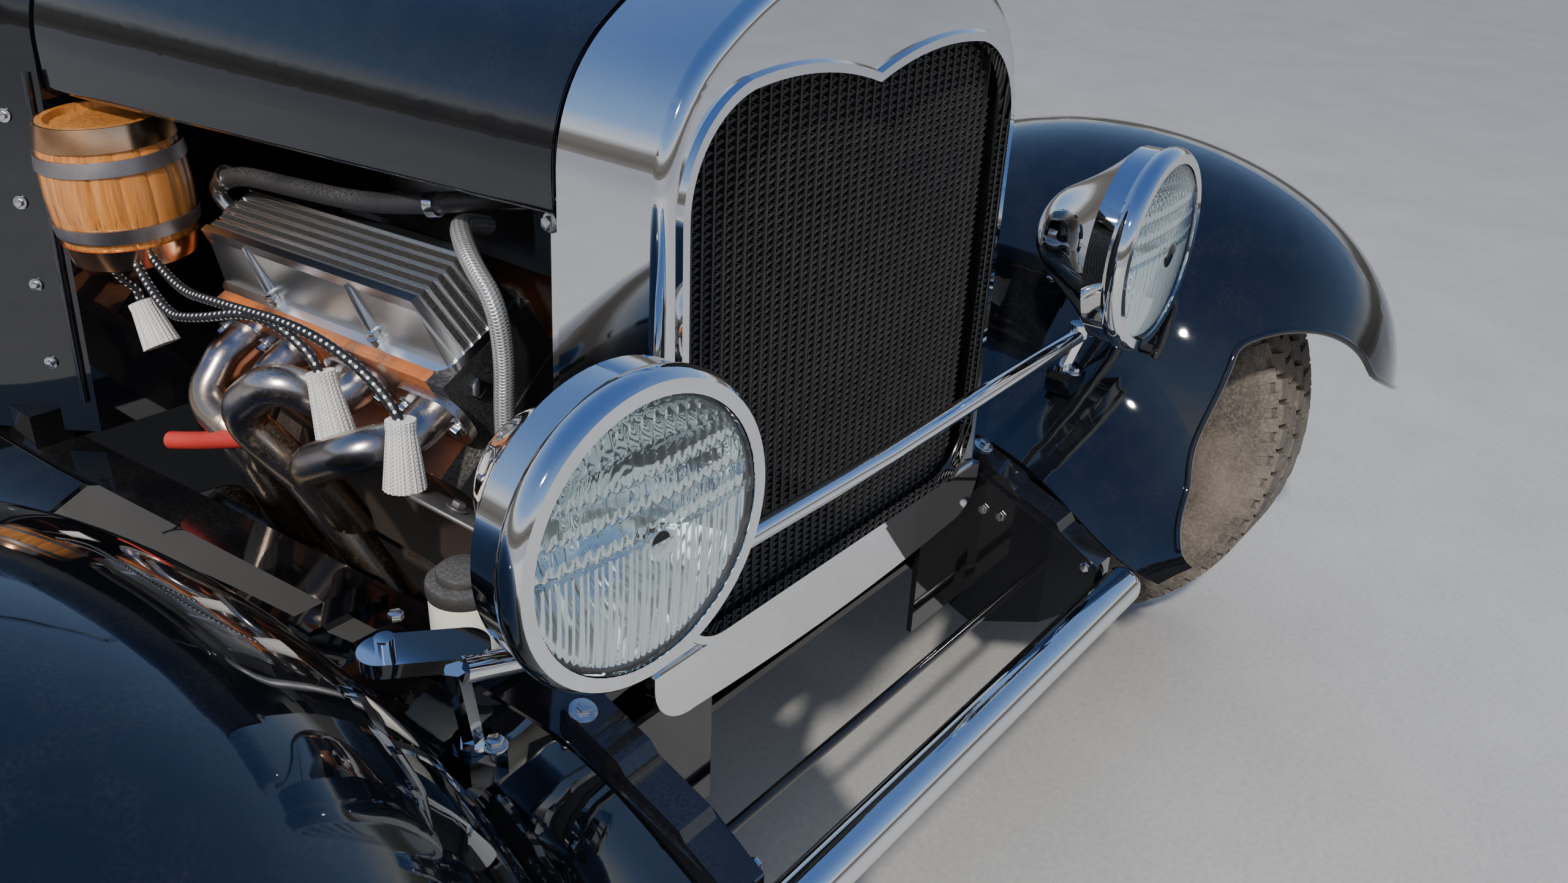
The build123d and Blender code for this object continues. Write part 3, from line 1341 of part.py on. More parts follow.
def keg_bands():
    """Metal hoops: each a thin ring that follows the staves 0.3 mm off."""
    hoops = None
    half = KEG_LENGTH / 2
    shape = revolve(Plane.XZ * make_face(keg_profile(KEG_R + 2.3, KEG_END_R + 2.3, half)), axis=Axis.Z)
    hollow = revolve(
        Plane.XZ * make_face(keg_profile(KEG_R + SEAT_GAP, KEG_END_R + SEAT_GAP, half + 0.01)), axis=Axis.Z
    )
    wall = shape - hollow
    for low, tall in ((-half, 20.0), (-half + 27, 13.0), (half - 40, 13.0), (half - 20, 20.0)):
        ring = wall & Pos(0, 0, low + tall / 2) * Box(200, 200, tall)
        hoops = ring if hoops is None else hoops + ring
    back = COWL_Y - KEG_Y - SEAT_GAP
    strap = box_between(-16, 16, KEG_R - 12, back, -half + 24, half - 24) - hollow
    return keg_place() * (hoops + strap)


# Cabin


def seats():
    half = 455.0
    base = box_between(-half, half, DOOR_REAR_Y - 440, DOOR_REAR_Y + 60, BODY_LOW + WALL + 1.0, BODY_LOW + 190)
    base = fillet(base.edges().filter_by(Axis.X), 30)
    back_plane = Pos(0, DOOR_REAR_Y + 100, BODY_LOW + 195) * Rot(-12, 0, 0)
    back = back_plane * Pos(0, 0, 170) * Box(2 * half, 95, 330)
    back = fillet(back.edges().filter_by(Axis.X), 30)
    return base, back


def dashboard(body_inside):
    y = DOOR_FRONT_Y - 86.0
    panel = box_between(-560, 560, y - 12, y + 12, 845, 958)
    for index, x in enumerate((-120, -40, 40, 120)):
        panel -= rod((x, y + 8, 902), (x, y + 20, 902), 26)
    return panel & body_inside


WHEEL_RIM_R = 178.0


def steering():
    low, top = column_ends()
    column = rod(low, top, COLUMN_R)
    column += box_between(low.X - 32, low.X + 32, COWL_Y - 55, COWL_Y - SEAT_GAP, low.Z - 60, low.Z + 40)
    column += rod((low.X + 20, COWL_Y - 35, low.Z - 50), (328, COWL_Y - 60, 460), 9.0)
    column += box_between(308, 352, COWL_Y - 105, COWL_Y - 35, FRAME_TOP + SEAT_GAP, 480)
    axis = (top - low).normalized()
    shaft_end = top + axis * 30
    column += rod(top - axis * 2, shaft_end, 9.0)
    plane = Plane(origin=shaft_end - axis * 4, z_dir=axis)
    ring = plane * Torus(WHEEL_RIM_R, 13)
    hub = plane * Cylinder(32, 24)
    wheel = ring + hub
    for index in range(3):
        angle = math.radians(90 + index * 120)
        outer = plane.from_local_coords(Vector(WHEEL_RIM_R * math.cos(angle), WHEEL_RIM_R * math.sin(angle), 0))
        wheel += rod(plane.origin, outer, 7.0)
    wheel -= rod(top + axis * 4, shaft_end, 9.0 + RUNNING_GAP)
    return column, wheel


def cockpit_controls():
    low = BODY_LOW + WALL + SEAT_GAP
    lever = rod((0, DOOR_FRONT_Y + 140, low + 6), (0, DOOR_FRONT_Y + 190, low + 330), 7.0)
    lever += Pos(0, DOOR_FRONT_Y + 190, low + 340) * Sphere(24)
    lever += Pos(0, DOOR_FRONT_Y + 140, low + 6) * Cylinder(46, 12)
    pedals = []
    for x in (180, 340):
        arm = rod((x, DOOR_FRONT_Y - 210, low + 4), (x, DOOR_FRONT_Y - 160, low + 150), 7.0)
        arm += box_between(x - 22, x + 22, DOOR_FRONT_Y - 230, DOOR_FRONT_Y - 190, low, low + 6)
        pad = Pos(x, DOOR_FRONT_Y - 158, low + 160) * Rot(-25, 0, 0) * Box(60, 10, 70)
        pedals.append(arm + pad)
    return group(lever, *pedals)


def tail_lamps():
    """Left tail lamp on its arm from the frame rail."""
    y = RAIL_TAIL_Y - 30.0
    z = 555.0
    x = 535.0
    body = rod((x, y, z), (x, y + 60, z), 42)
    body += rod((x, y + 58, z), (x, y + 66, z), 38)
    rail_side = 430.0 + RAIL_WIDTH / 2 + SEAT_GAP
    body += box_between(rail_side, rail_side + 6, y - 14, y + 26, 500, 540)
    body += rod((rail_side + 4, y + 6, 520), (x - 20, y + 14, z - 20), 8.0)
    return body


def fuel_tank():
    tank = box_between(-330, 330, REAR_AXLE_Y + 190, RAIL_TAIL_Y - 110, 480, BODY_LOW_REAR - SEAT_GAP)
    return fillet(tank.edges().filter_by(Axis.X), 25)


DOOR_HINGE_X = 518.0
DOOR_PIN_R = 4.0
DOOR_KNUCKLE_R = 9.0
DOOR_HINGE_Z = [BODY_LOW + 120.0, BELT_Z - 160.0]
LID_HINGE_X = 210.0
LID_HINGE_Z = 1021.0


def door_with_hinges(door):
    """Left door panel with its outside hinge leaves and handle, and the leaves left on the body."""
    pins = []
    for z in DOOR_HINGE_Z:
        fixed, moving = barrel_hinge(60, 3, 26, 26, DOOR_PIN_R, DOOR_KNUCKLE_R, 30, toward=-1)
        place = Pos(DOOR_HINGE_X, DOOR_FRONT_Y + PANEL_GAP / 2, z) * Rot(0, 0, -90)
        door += place * moving
        pins.append(place * fixed)
    y = DOOR_REAR_Y - 60
    door += rod((525, y, 800), (590, y, 800), 9)
    door += rod((588, y + 10, 800), (588, y - 90, 800), 7)
    return door, pins


def lid_with_hinges(lid):
    """Deck lid with its two hinge leaves and handle, and the leaves left on the body."""
    pins = []
    for x in (-LID_HINGE_X - 30, LID_HINGE_X - 30):
        fixed, moving = barrel_hinge(60, 3, 26, 26, DOOR_PIN_R, DOOR_KNUCKLE_R, 26)
        place = Plane(
            origin=(x, DECK_FRONT_Y + PANEL_GAP / 2, LID_HINGE_Z), x_dir=(0, 1, 0), z_dir=(1, 0, 0)
        )
        lid += place * moving
        pins.append(place * fixed)
    return lid, pins


def build_nodes():
    nodes = {}
    body_room = body_solid(-SEAT_GAP)
    rear_pack, spring_beam, spring_perches = rear_spring()
    nodes["frame"] = frame(body_room, spring_beam)
    nodes["spreader_bars"] = spreader_bars()
    nodes["front_axle"] = front_axle()
    nodes["springs"] = group(springs(), rear_pack)
    nodes["rear_axle"] = rear_axle() + spring_perches
    nodes["knuckle_left"] = knuckle()
    nodes["knuckle_right"] = other_side(knuckle())
    nodes["tie_rod"] = tie_rod()
    front_x = FRONT_TRACK / 2
    rear_x = REAR_TRACK / 2
    front_wheel = rim(FRONT_TYRE_WIDTH, 40, -26, 40, -34)
    rear_wheel = rim(REAR_TYRE_WIDTH, 40, -26, 20, -62)
    front_tyre = tyre(FRONT_TYRE_R, FRONT_TYRE_WIDTH)
    rear_tyre = tyre(REAR_TYRE_R, REAR_TYRE_WIDTH)
    places = [
        ("front", front_x, FRONT_AXLE_Y, FRONT_TYRE_R, front_wheel, front_tyre),
        ("rear", rear_x, REAR_AXLE_Y, REAR_TYRE_R, rear_wheel, rear_tyre),
    ]
    for name, x, y, z, wheel, rubber in places:
        left_wheel = Pos(x, y, z) * wheel
        left_tyre = Pos(x, y, z) * rubber
        nodes[f"wheel_{name}_left"] = left_wheel
        nodes[f"tyre_{name}_left"] = left_tyre
        nodes[f"wheel_{name}_right"] = other_side(left_wheel)
        nodes[f"tyre_{name}_right"] = other_side(left_tyre)
    nodes["radiator_shell"] = radiator_shell()
    nodes["radiator_core"] = radiator_core()
    half, fixed = hood_half()
    nodes["hood_left"] = half
    nodes["hood_right"] = other_side(half)
    nodes["hood_hinge"] = hood_hinge()
    tub, door, lid = body_parts()
    door, pins = door_with_hinges(door)
    for pin in pins:
        tub += pin
        tub += other_side(pin)
    lid, pins = lid_with_hinges(lid)
    for pin in pins:
        tub += pin
    nodes["body_tub"] = tub
    nodes["door_left"] = door
    nodes["door_right"] = other_side(door)
    nodes["deck_lid"] = lid
    nodes["front_fenders"] = both_sides(front_fender())
    nodes["rear_fenders"] = both_sides(rear_fender(body_room))
    nodes["running_boards"] = both_sides(running_board(body_room))
    nodes["headlamp_bowls"] = both_sides(lamp_place() * lamp_bowl())
    nodes["headlamp_lenses"] = both_sides(lamp_place() * lamp_lens())
    nodes["headlamp_bar"] = headlamp_bar()
    screen, glass = windshield()
    nodes["windshield_frame"] = screen
    nodes["windshield_glass"] = glass
    nodes["engine_block"] = engine_block()
    nodes["gearbox"] = gearbox()
    nodes["valve_covers"] = both_sides(cover_place() * valve_cover())
    nodes["exhaust_headers"] = both_sides(headers())
    nodes["horn_covers"] = both_sides(horn_covers())
    nodes["exhaust_pipes"] = both_sides(exhaust_pipes())
    nodes["intake"] = intake()
    nodes["fan_and_pulleys"] = fan_and_pulleys()
    nodes["keg"] = keg()
    nodes["keg_bands"] = keg_bands()
    base, back = seats()
    nodes["seat_cushion"] = base
    nodes["seat_back"] = back
    nodes["dashboard"] = dashboard(body_solid(WALL + SEAT_GAP))
    column, wheel = steering()
    nodes["steering_column"] = column
    nodes["steering_wheel"] = wheel
    nodes["cockpit_controls"] = cockpit_controls()
    nodes["tail_lamps"] = both_sides(tail_lamps())
    nodes["fuel_tank"] = fuel_tank()
    return nodes


os.makedirs("parts", exist_ok=True)
for node_name, node_shape in build_nodes().items():
    export_step(node_shape, f"parts/{node_name}.step")
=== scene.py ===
"""Dresses a fendered roadster hot rod: finishes for its solids, and the trim, tread, cords and seat pads."""

import math

import bmesh
import bpy
from mathutils import Euler, Matrix, Vector
from mathutils.bvhtree import BVHTree


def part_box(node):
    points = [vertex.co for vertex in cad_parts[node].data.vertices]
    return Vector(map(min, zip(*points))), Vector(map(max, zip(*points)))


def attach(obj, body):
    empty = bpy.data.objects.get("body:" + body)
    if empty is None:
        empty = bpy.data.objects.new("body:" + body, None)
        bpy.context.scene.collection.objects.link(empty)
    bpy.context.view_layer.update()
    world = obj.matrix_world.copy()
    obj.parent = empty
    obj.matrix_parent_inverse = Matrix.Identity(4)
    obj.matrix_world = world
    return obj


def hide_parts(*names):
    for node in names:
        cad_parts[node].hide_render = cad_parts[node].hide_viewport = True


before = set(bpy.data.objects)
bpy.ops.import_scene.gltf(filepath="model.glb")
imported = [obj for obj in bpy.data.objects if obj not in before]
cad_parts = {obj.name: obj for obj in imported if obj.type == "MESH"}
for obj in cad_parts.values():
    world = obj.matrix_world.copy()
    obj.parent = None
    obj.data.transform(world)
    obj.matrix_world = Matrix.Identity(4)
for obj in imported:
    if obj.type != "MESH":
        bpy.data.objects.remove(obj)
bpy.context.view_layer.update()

bl_info = {
    "name": "Hot Rod Dressing",
    "version": (1, 0, 0),
    "blender": (4, 5, 0),
    "location": "View3D > Sidebar > Hot Rod",
    "description": "Finishes and detail pieces for a fendered roadster hot rod",
    "category": "Object",
}

MM = 0.001
MERGE = 1e-6

# Places that the solids give, in metres
CORE_LOW, CORE_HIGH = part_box("radiator_core")
KEG_LOW, KEG_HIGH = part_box("keg")
TYRE_LOW, TYRE_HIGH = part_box("tyre_front_left")
REAR_TYRE_LOW, REAR_TYRE_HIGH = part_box("tyre_rear_left")
FRONT_TYRE_WIDTH = TYRE_HIGH.x - TYRE_LOW.x
REAR_TYRE_WIDTH = REAR_TYRE_HIGH.x - REAR_TYRE_LOW.x
GRILLE_Y = -1.539
FRONT_AXLE_Y = (TYRE_LOW.y + TYRE_HIGH.y) / 2
REAR_AXLE_Y = (REAR_TYRE_LOW.y + REAR_TYRE_HIGH.y) / 2

# Grille opening: half width, floor, corner radius, and where the dip in its top ends, in metres
OPENING_HALF = 0.21
OPENING_FLOOR = 0.445
OPENING_CORNER = 0.047
OPENING_DIP = 0.148

# Radiator fins: spacing of the strips, their front and back edges behind the grille line, and wall
FIN_SPACING = 0.0116
FIN_FRONT, FIN_BACK = 0.0145, 0.0215
FIN_WALL = 0.0005

# Wheels and tyres: bead seat, rim edge, shoulder, hub cap, and how far out the caps' centres stand
RIM_SEAT = 0.2033
RIM_EDGE = 0.2095
SHOULDER = 0.026
CAP_RADIUS = 0.1552
CAP_REACH = 0.066
FRONT_HUB_X, REAR_HUB_X = 0.729, 0.720

# Lamps: the left headlamp's centre in millimetres and its turn, then radii and depth in metres
LAMP_PLACE = (355.0, -112.0, 661.0)
LAMP_TURN = math.radians(2.3)
LAMP_GLASS = 0.0835
LAMP_MOUTH = 0.0845
LAMP_DEPTH = 0.078
TAIL_LAMP_X, TAIL_LAMP_Z = 0.535, 0.555

# Dials, edge beads, hoses, wires and plug boots: radii in metres
DIAL_RADIUS = 0.0255
BEAD_RADIUS = 0.0036
HOSE_RADIUS = 0.0085
WIRE_RADIUS = 0.0042
BOOT_RADIUS = 0.0145

# Seat pads: rolls across, size of the mesh's cells, seams, and the air that swells them
SEAT_ROLLS = 9
PAD_CELL, QUICK_CELL = 0.0085, 0.011
SEAM_DEPTH, SEAM_SPREAD = 0.011, 0.013
PAD_PRESSURE = 4.0
PAD_FRAMES = 20

# Camera: place in metres, turns in radians, lens and frame width in pixels, and sensor in millimetres
CAMERA_PLACE = (-0.797, -2.072, 1.036)
CAMERA_YAW, CAMERA_PITCH, CAMERA_ROLL = 0.9256, 0.4721, 0.050
LENS_PIXELS, FRAME_PIXELS = 2054.0, 2560.0
SENSOR_WIDTH = 36.0


def at_grille(x, y, z):
    """A point in metres from x, the distance behind the grille and z in millimetres."""
    return Vector((x * MM, GRILLE_Y + y * MM, z * MM))


# Shader parts


def new_group(name, inputs, outputs):
    group = bpy.data.node_groups.new(name, "ShaderNodeTree")
    for label, kind, default in inputs:
        socket = group.interface.new_socket(label, in_out="INPUT", socket_type=kind)
        socket.default_value = default
    for label, kind in outputs:
        group.interface.new_socket(label, in_out="OUTPUT", socket_type=kind)
    return group


class Graph:
    """Short calls to add and join the nodes of one node tree."""

    def __init__(self, tree):
        self.tree = tree

    def node(self, kind, **settings):
        node = self.tree.nodes.new(kind)
        for key, value in settings.items():
            setattr(node, key, value)
        return node

    def join(self, source, target):
        self.tree.links.new(source, target)

    def put(self, socket, value):
        """Set an input socket, or join a source socket to it."""
        if isinstance(value, bpy.types.NodeSocket):
            self.join(value, socket)
        else:
            socket.default_value = value

    def math(self, operation, a, b=0.0, c=None, clamp=False):
        node = self.node("ShaderNodeMath", operation=operation, use_clamp=clamp)
        self.put(node.inputs[0], a)
        self.put(node.inputs[1], b)
        if c is not None:
            self.put(node.inputs[2], c)
        return node.outputs[0]

    def noise(self, vector, scale, detail=3.0, rough=0.55, distortion=0.0):
        node = self.node("ShaderNodeTexNoise")
        self.join(vector, node.inputs["Vector"])
        node.inputs["Scale"].default_value = scale
        node.inputs["Detail"].default_value = detail
        node.inputs["Roughness"].default_value = rough
        node.inputs["Distortion"].default_value = distortion
        return node.outputs["Fac"]

    def ramp(self, factor, stops):
        node = self.node("ShaderNodeValToRGB")
        self.join(factor, node.inputs["Fac"])
        elements = node.color_ramp.elements
        while len(elements) < len(stops):
            elements.new(0.5)
        for element, (place, colour) in zip(elements, stops):
            element.position = place
            element.color = (*colour, 1.0) if len(colour) == 3 else colour
        return node.outputs["Color"]

    def mask(self, factor, low, high):
        node = self.node("ShaderNodeMapRange", clamp=True, interpolation_type="SMOOTHSTEP")
        self.join(factor, node.inputs["Value"])
        node.inputs["From Min"].default_value = low
        node.inputs["From Max"].default_value = high
        return node.outputs["Result"]

    def blend(self, factor, a, b):
        node = self.node("ShaderNodeMix", data_type="RGBA")
        self.put(node.inputs[0], factor)
        self.put(node.inputs[6], a)
        self.put(node.inputs[7], b)
        return node.outputs[2]

    def mix_value(self, factor, a, b):
        node = self.node("ShaderNodeMix", data_type="FLOAT")
        self.put(node.inputs[0], factor)
        self.put(node.inputs[2], a)
        self.put(node.inputs[3], b)
        return node.outputs[0]

    def coords(self):
        return self.node("ShaderNodeTexCoord").outputs["Object"]

    def mapped(self, vector, location=(0, 0, 0), rotation=(0, 0, 0), scale=(1, 1, 1), kind="POINT"):
        node = self.node("ShaderNodeMapping", vector_type=kind)
        self.join(vector, node.inputs["Vector"])
        node.inputs["Location"].default_value = location
        node.inputs["Rotation"].default_value = rotation
        node.inputs["Scale"].default_value = scale
        return node.outputs["Vector"]


def dust_group():
    """Dust settled on faces that look up, broken by noise: a mask and a bump height."""
    group = new_group(
        "Settled Dust",
        [("Amount", "NodeSocketFloat", 0.4), ("Patch Size", "NodeSocketFloat", 9.0)],
        [("Mask", "NodeSocketFloat"), ("Height", "NodeSocketFloat")],
    )
    g = Graph(group)
    into = g.node("NodeGroupInput")
    out = g.node("NodeGroupOutput")
    place = g.coords()
    normal = g.node("ShaderNodeNewGeometry").outputs["Normal"]
    split = g.node("ShaderNodeSeparateXYZ")
    g.join(normal, split.inputs[0])
    up = g.mask(split.outputs["Z"], -0.2, 1.0)
    patches = g.node("ShaderNodeTexNoise")
    g.join(place, patches.inputs["Vector"])
    g.join(into.outputs["Patch Size"], patches.inputs["Scale"])
    patches.inputs["Detail"].default_value = 6.0
    fine = g.noise(place, 420.0, 4.0, 0.7)
    broken = g.math("MULTIPLY", g.mask(patches.outputs["Fac"], 0.32, 0.72), g.mask(fine, 0.35, 0.72))
    shown = g.math("MULTIPLY", g.math("MULTIPLY_ADD", up, 0.8, 0.2), broken)
    g.join(g.math("MULTIPLY", shown, into.outputs["Amount"], clamp=True), out.inputs["Mask"])
    g.join(fine, out.inputs["Height"])
    return group


def smudge_group():
    """Large soft patches and fine streaks that change the gloss of plated and painted metal."""
    group = new_group(
        "Gloss Smudges",
        [("Base", "NodeSocketFloat", 0.05), ("Spread", "NodeSocketFloat", 0.06)],
        [("Roughness", "NodeSocketFloat"), ("Height", "NodeSocketFloat")],
    )
    g = Graph(group)
    into = g.node("NodeGroupInput")
    out = g.node("NodeGroupOutput")
    place = g.coords()
    soft = g.mask(g.noise(place, 7.0, 5.0, 0.6, 0.4), 0.4, 0.75)
    streaks = g.noise(g.mapped(place, scale=(1.0, 1.0, 9.0)), 60.0, 2.0)
    spread = g.math("MULTIPLY", soft, g.math("MULTIPLY_ADD", streaks, 0.6, 0.4))
    gloss = g.math("MULTIPLY_ADD", spread, into.outputs["Spread"], into.outputs["Base"])
    g.join(gloss, out.inputs["Roughness"])
    g.join(g.noise(place, 900.0, 2.0), out.inputs["Height"])
    return group


GROUPS = {"dust": dust_group(), "smudges": smudge_group()}


def surface(name, colour, rough, metal=0.0, dust=0.2, patch=9.0, coat=0.0, spread=0.06, bump=0.02):
    """A painted or plated surface: base colour, gloss smudges and settled dust.

    Returns the material, its graph, shader and bump node, the clean base colour and the dust node.
    """
    material = bpy.data.materials.new(name)
    material.use_nodes = True
    material.diffuse_color = (*colour[:3], 1.0)
    g = Graph(material.node_tree)
    shader = material.node_tree.nodes["Principled BSDF"]
    place = g.coords()
    dusty = g.node("ShaderNodeGroup", node_tree=GROUPS["dust"])
    dusty.inputs["Amount"].default_value = dust
    dusty.inputs["Patch Size"].default_value = patch
    smudge = g.node("ShaderNodeGroup", node_tree=GROUPS["smudges"])
    smudge.inputs["Base"].default_value = rough
    smudge.inputs["Spread"].default_value = spread
    tone = g.noise(place, 5.0, 4.0)
    darker = [c * 0.88 for c in colour[:3]] + [1.0]
    lighter = [min(1.0, c * 1.08) for c in colour[:3]] + [1.0]
    base = g.blend(tone, darker, lighter)
    g.join(g.blend(dusty.outputs["Mask"], base, (0.42, 0.39, 0.34, 1.0)), shader.inputs["Base Color"])
    g.join(g.mix_value(dusty.outputs["Mask"], smudge.outputs["Roughness"], 0.85), shader.inputs["Roughness"])
    shader.inputs["Metallic"].default_value = metal
    if metal > 0 and dust > 0.05:
        g.join(g.mix_value(dusty.outputs["Mask"], metal, 0.0), shader.inputs["Metallic"])
    shader.inputs["Coat Weight"].default_value = coat
    shader.inputs["Coat Roughness"].default_value = 0.02
    bumps = g.node("ShaderNodeBump")
    bumps.inputs["Strength"].default_value = bump
    bumps.inputs["Distance"].default_value = 0.001
    g.join(g.math("ADD", dusty.outputs["Height"], smudge.outputs["Height"]), bumps.inputs["Height"])
    g.join(bumps.outputs["Normal"], shader.inputs["Normal"])
    return material, g, shader, bumps, base, dusty


def plain(*args, **settings):
    """The material alone of a surface that needs nothing more."""
    return surface(*args, **settings)[0]


def cover_metal():
    """Polished casting whose rib tops are dusty black between bright edges, found from the cover's frame."""
    material, g, shader, _, base, _ = surface(
        "polished ribs", (0.9, 0.9, 0.89), 0.2, metal=1.0, dust=0.05, spread=0.14, bump=0.05
    )
    split = g.node("ShaderNodeSeparateXYZ")
    g.join(g.coords(), split.inputs[0])
    mirrored = g.node("ShaderNodeCombineXYZ")
    g.join(g.math("ABSOLUTE", split.outputs["X"]), mirrored.inputs["X"])
    g.join(split.outputs["Y"], mirrored.inputs["Y"])
    g.join(split.outputs["Z"], mirrored.inputs["Z"])
    local = g.node("ShaderNodeSeparateXYZ")
    turn = COVER_FRAME.to_3x3().to_euler("XYZ")
    g.join(g.mapped(mirrored.outputs[0], COVER_FRAME.translation, turn, kind="TEXTURE"), local.inputs[0])
    x, _, z = local.outputs
    share = g.math("FRACT", g.math("ADD", g.math("DIVIDE", x, RIB_PITCH), 0.5))
    off = g.math("MULTIPLY", g.math("ABSOLUTE", g.math("SUBTRACT", share, 0.5)), RIB_PITCH)
    top = g.mask(off, 0.0032, 0.0028)
    inside = g.math("LESS_THAN", g.math("ABSOLUTE", x), 2.5 * RIB_PITCH)
    above = g.math("GREATER_THAN", z, 0.0088)
    black = g.math("MULTIPLY", g.math("MULTIPLY", top, inside), above)
    grain = g.noise(g.coords(), 700.0, 3.0, 0.7)
    dark = g.ramp(grain, [(0.35, (0.006, 0.006, 0.006)), (0.8, (0.075, 0.07, 0.06))])
    g.join(g.blend(black, base, dark), shader.inputs["Base Color"])
    g.join(g.math("SUBTRACT", 1.0, black), shader.inputs["Metallic"])
    g.join(g.mix_value(black, 0.24, 0.6), shader.inputs["Roughness"])
    return material


def header_steel():
    """Pipe steel with straw and blue heat bands near the heads, and brown soot further down."""
    material, g, shader, _, _, dusty = surface(
        "heat tinted steel", (0.5, 0.42, 0.35), 0.26, metal=1.0, dust=0.2, patch=22.0, spread=0.2, bump=0.06
    )
    place = g.coords()
    split = g.node("ShaderNodeSeparateXYZ")
    g.join(place, split.inputs[0])
    wander = g.noise(place, 16.0, 4.0, 0.6, 0.8)
    level = g.math("ADD", split.outputs["Z"], g.math("MULTIPLY_ADD", wander, 0.07, -0.035))
    tint = g.ramp(
        g.mask(level, 0.36, 0.6),
        [
            (0.0, (0.13, 0.10, 0.075)),
            (0.35, (0.33, 0.255, 0.19)),
            (0.62, (0.50, 0.40, 0.31)),
            (0.8, (0.56, 0.43, 0.29)),
            (0.9, (0.38, 0.33, 0.33)),
            (1.0, (0.60, 0.53, 0.46)),
        ],
    )
    rust = g.mask(g.noise(place, 55.0, 6.0, 0.7), 0.56, 0.72)
    colour = g.blend(g.math("MULTIPLY", rust, 0.5), tint, (0.13, 0.07, 0.04, 1.0))
    g.join(g.blend(dusty.outputs["Mask"], colour, (0.4, 0.36, 0.3, 1.0)), shader.inputs["Base Color"])
    g.join(g.mix_value(rust, 0.24, 0.55), shader.inputs["Roughness"])
    return material


def engine_paint():
    """Orange block paint with black heads at the front, going near black towards the bottom, with oil stains
    in patches and road dust.
    """
    material, g, shader, _, _, dusty = surface(
        "engine paint", (0.55, 0.16, 0.03), 0.38, dust=0.5, patch=14.0, spread=0.2, bump=0.2
    )
    place = g.coords()
    split = g.node("ShaderNodeSeparateXYZ")
    g.join(place, split.inputs[0])
    # The block goes near black below 0.42 m, fading in up to 0.58 m, and also in noise patches
    low = g.mask(split.outputs["Z"], 0.58, 0.42)
    low_dark_and_stains = g.math("MAXIMUM", low, g.mask(g.noise(place, 12.0, 6.0, 0.65), 0.40, 0.66))
    colour = g.blend(low_dark_and_stains, (0.5, 0.14, 0.03, 1.0), (0.03, 0.02, 0.015, 1.0))
    front = g.math("LESS_THAN", split.outputs["Y"], GRILLE_Y + 0.24)
    colour = g.blend(front, colour, (0.014, 0.014, 0.015, 1.0))
    g.join(g.blend(dusty.outputs["Mask"], colour, (0.3, 0.27, 0.23, 1.0)), shader.inputs["Base Color"])
    return material


def oak():
    """Varnished oak: long grain and pores along the staves, with broad patches of an even mid-brown figure.
    """
    material, g, shader, bumps, _, _ = surface(
        "varnished oak", (0.6, 0.3, 0.1), 0.22, dust=0.08, coat=0.6, bump=0.15
    )
    place = g.coords()
    long_grain = g.noise(g.mapped(place, scale=(60.0, 60.0, 3.0)), 3.0, 6.0, 0.65, 0.6)
    pores = g.noise(g.mapped(place, scale=(400.0, 400.0, 14.0)), 1.0, 3.0)
    figure = g.noise(g.mapped(place, scale=(1.0, 1.0, 0.25)), 26.0, 3.0)
    tone = g.ramp(
        long_grain,
        [(0.25, (0.22, 0.07, 0.014)), (0.5, (0.50, 0.19, 0.042)), (0.75, (0.72, 0.33, 0.095))],
    )
    stained = g.blend(g.mask(figure, 0.3, 0.75), tone, (0.56, 0.21, 0.045, 1.0))
    g.join(g.blend(g.mask(pores, 0.58, 0.75), stained, (0.2, 0.07, 0.02, 1.0)), shader.inputs["Base Color"])
    g.join(g.math("ADD", long_grain, pores), bumps.inputs["Height"])
    return material


def keg_metal():
    """Copper at the keg's ends and dull grey on the two straps between."""
    material, g, shader, _, _, _ = surface(
        "copper and grey hoops", (0.72, 0.4, 0.24), 0.16, metal=1.0, dust=0.1, spread=0.2, bump=0.03
    )
    split = g.node("ShaderNodeSeparateXYZ")
    g.join(g.coords(), split.inputs[0])
    middle = (KEG_LOW.z + KEG_HIGH.z) / 2
    far = g.math("ABSOLUTE", g.math("SUBTRACT", split.outputs["Z"], middle))
    end = g.math("GREATER_THAN", far, (KEG_HIGH.z - KEG_LOW.z) / 2 - 0.028)
    patina = g.noise(g.coords(), 30.0, 5.0)
    copper = g.ramp(patina, [(0.3, (0.72, 0.33, 0.14)), (0.7, (0.95, 0.58, 0.34))])
    grey = g.ramp(patina, [(0.3, (0.36, 0.33, 0.32)), (0.7, (0.56, 0.52, 0.51))])
    g.join(g.blend(end, grey, copper), shader.inputs["Base Color"])
    g.join(g.mix_value(end, 0.42, 0.2), shader.inputs["Roughness"])
    return material


def clear_glass(name, tint, ior):
    """Clear glass with a faint film of dust that dulls it in patches."""
    material = bpy.data.materials.new(name)
    material.use_nodes = True
    g = Graph(material.node_tree)
    shader = material.node_tree.nodes["Principled BSDF"]
    place = g.coords()
    film = g.mask(g.noise(place, 20.0, 5.0, 0.6), 0.45, 0.8)
    g.join(g.blend(film, (*tint, 1.0), (*[c * 0.93 for c in tint], 1.0)), shader.inputs["Base Color"])
    g.join(g.math("MULTIPLY_ADD", film, 0.05, 0.005), shader.inputs["Roughness"])
    shader.inputs["Transmission Weight"].default_value = 1.0
    shader.inputs["IOR"].default_value = ior
    return material


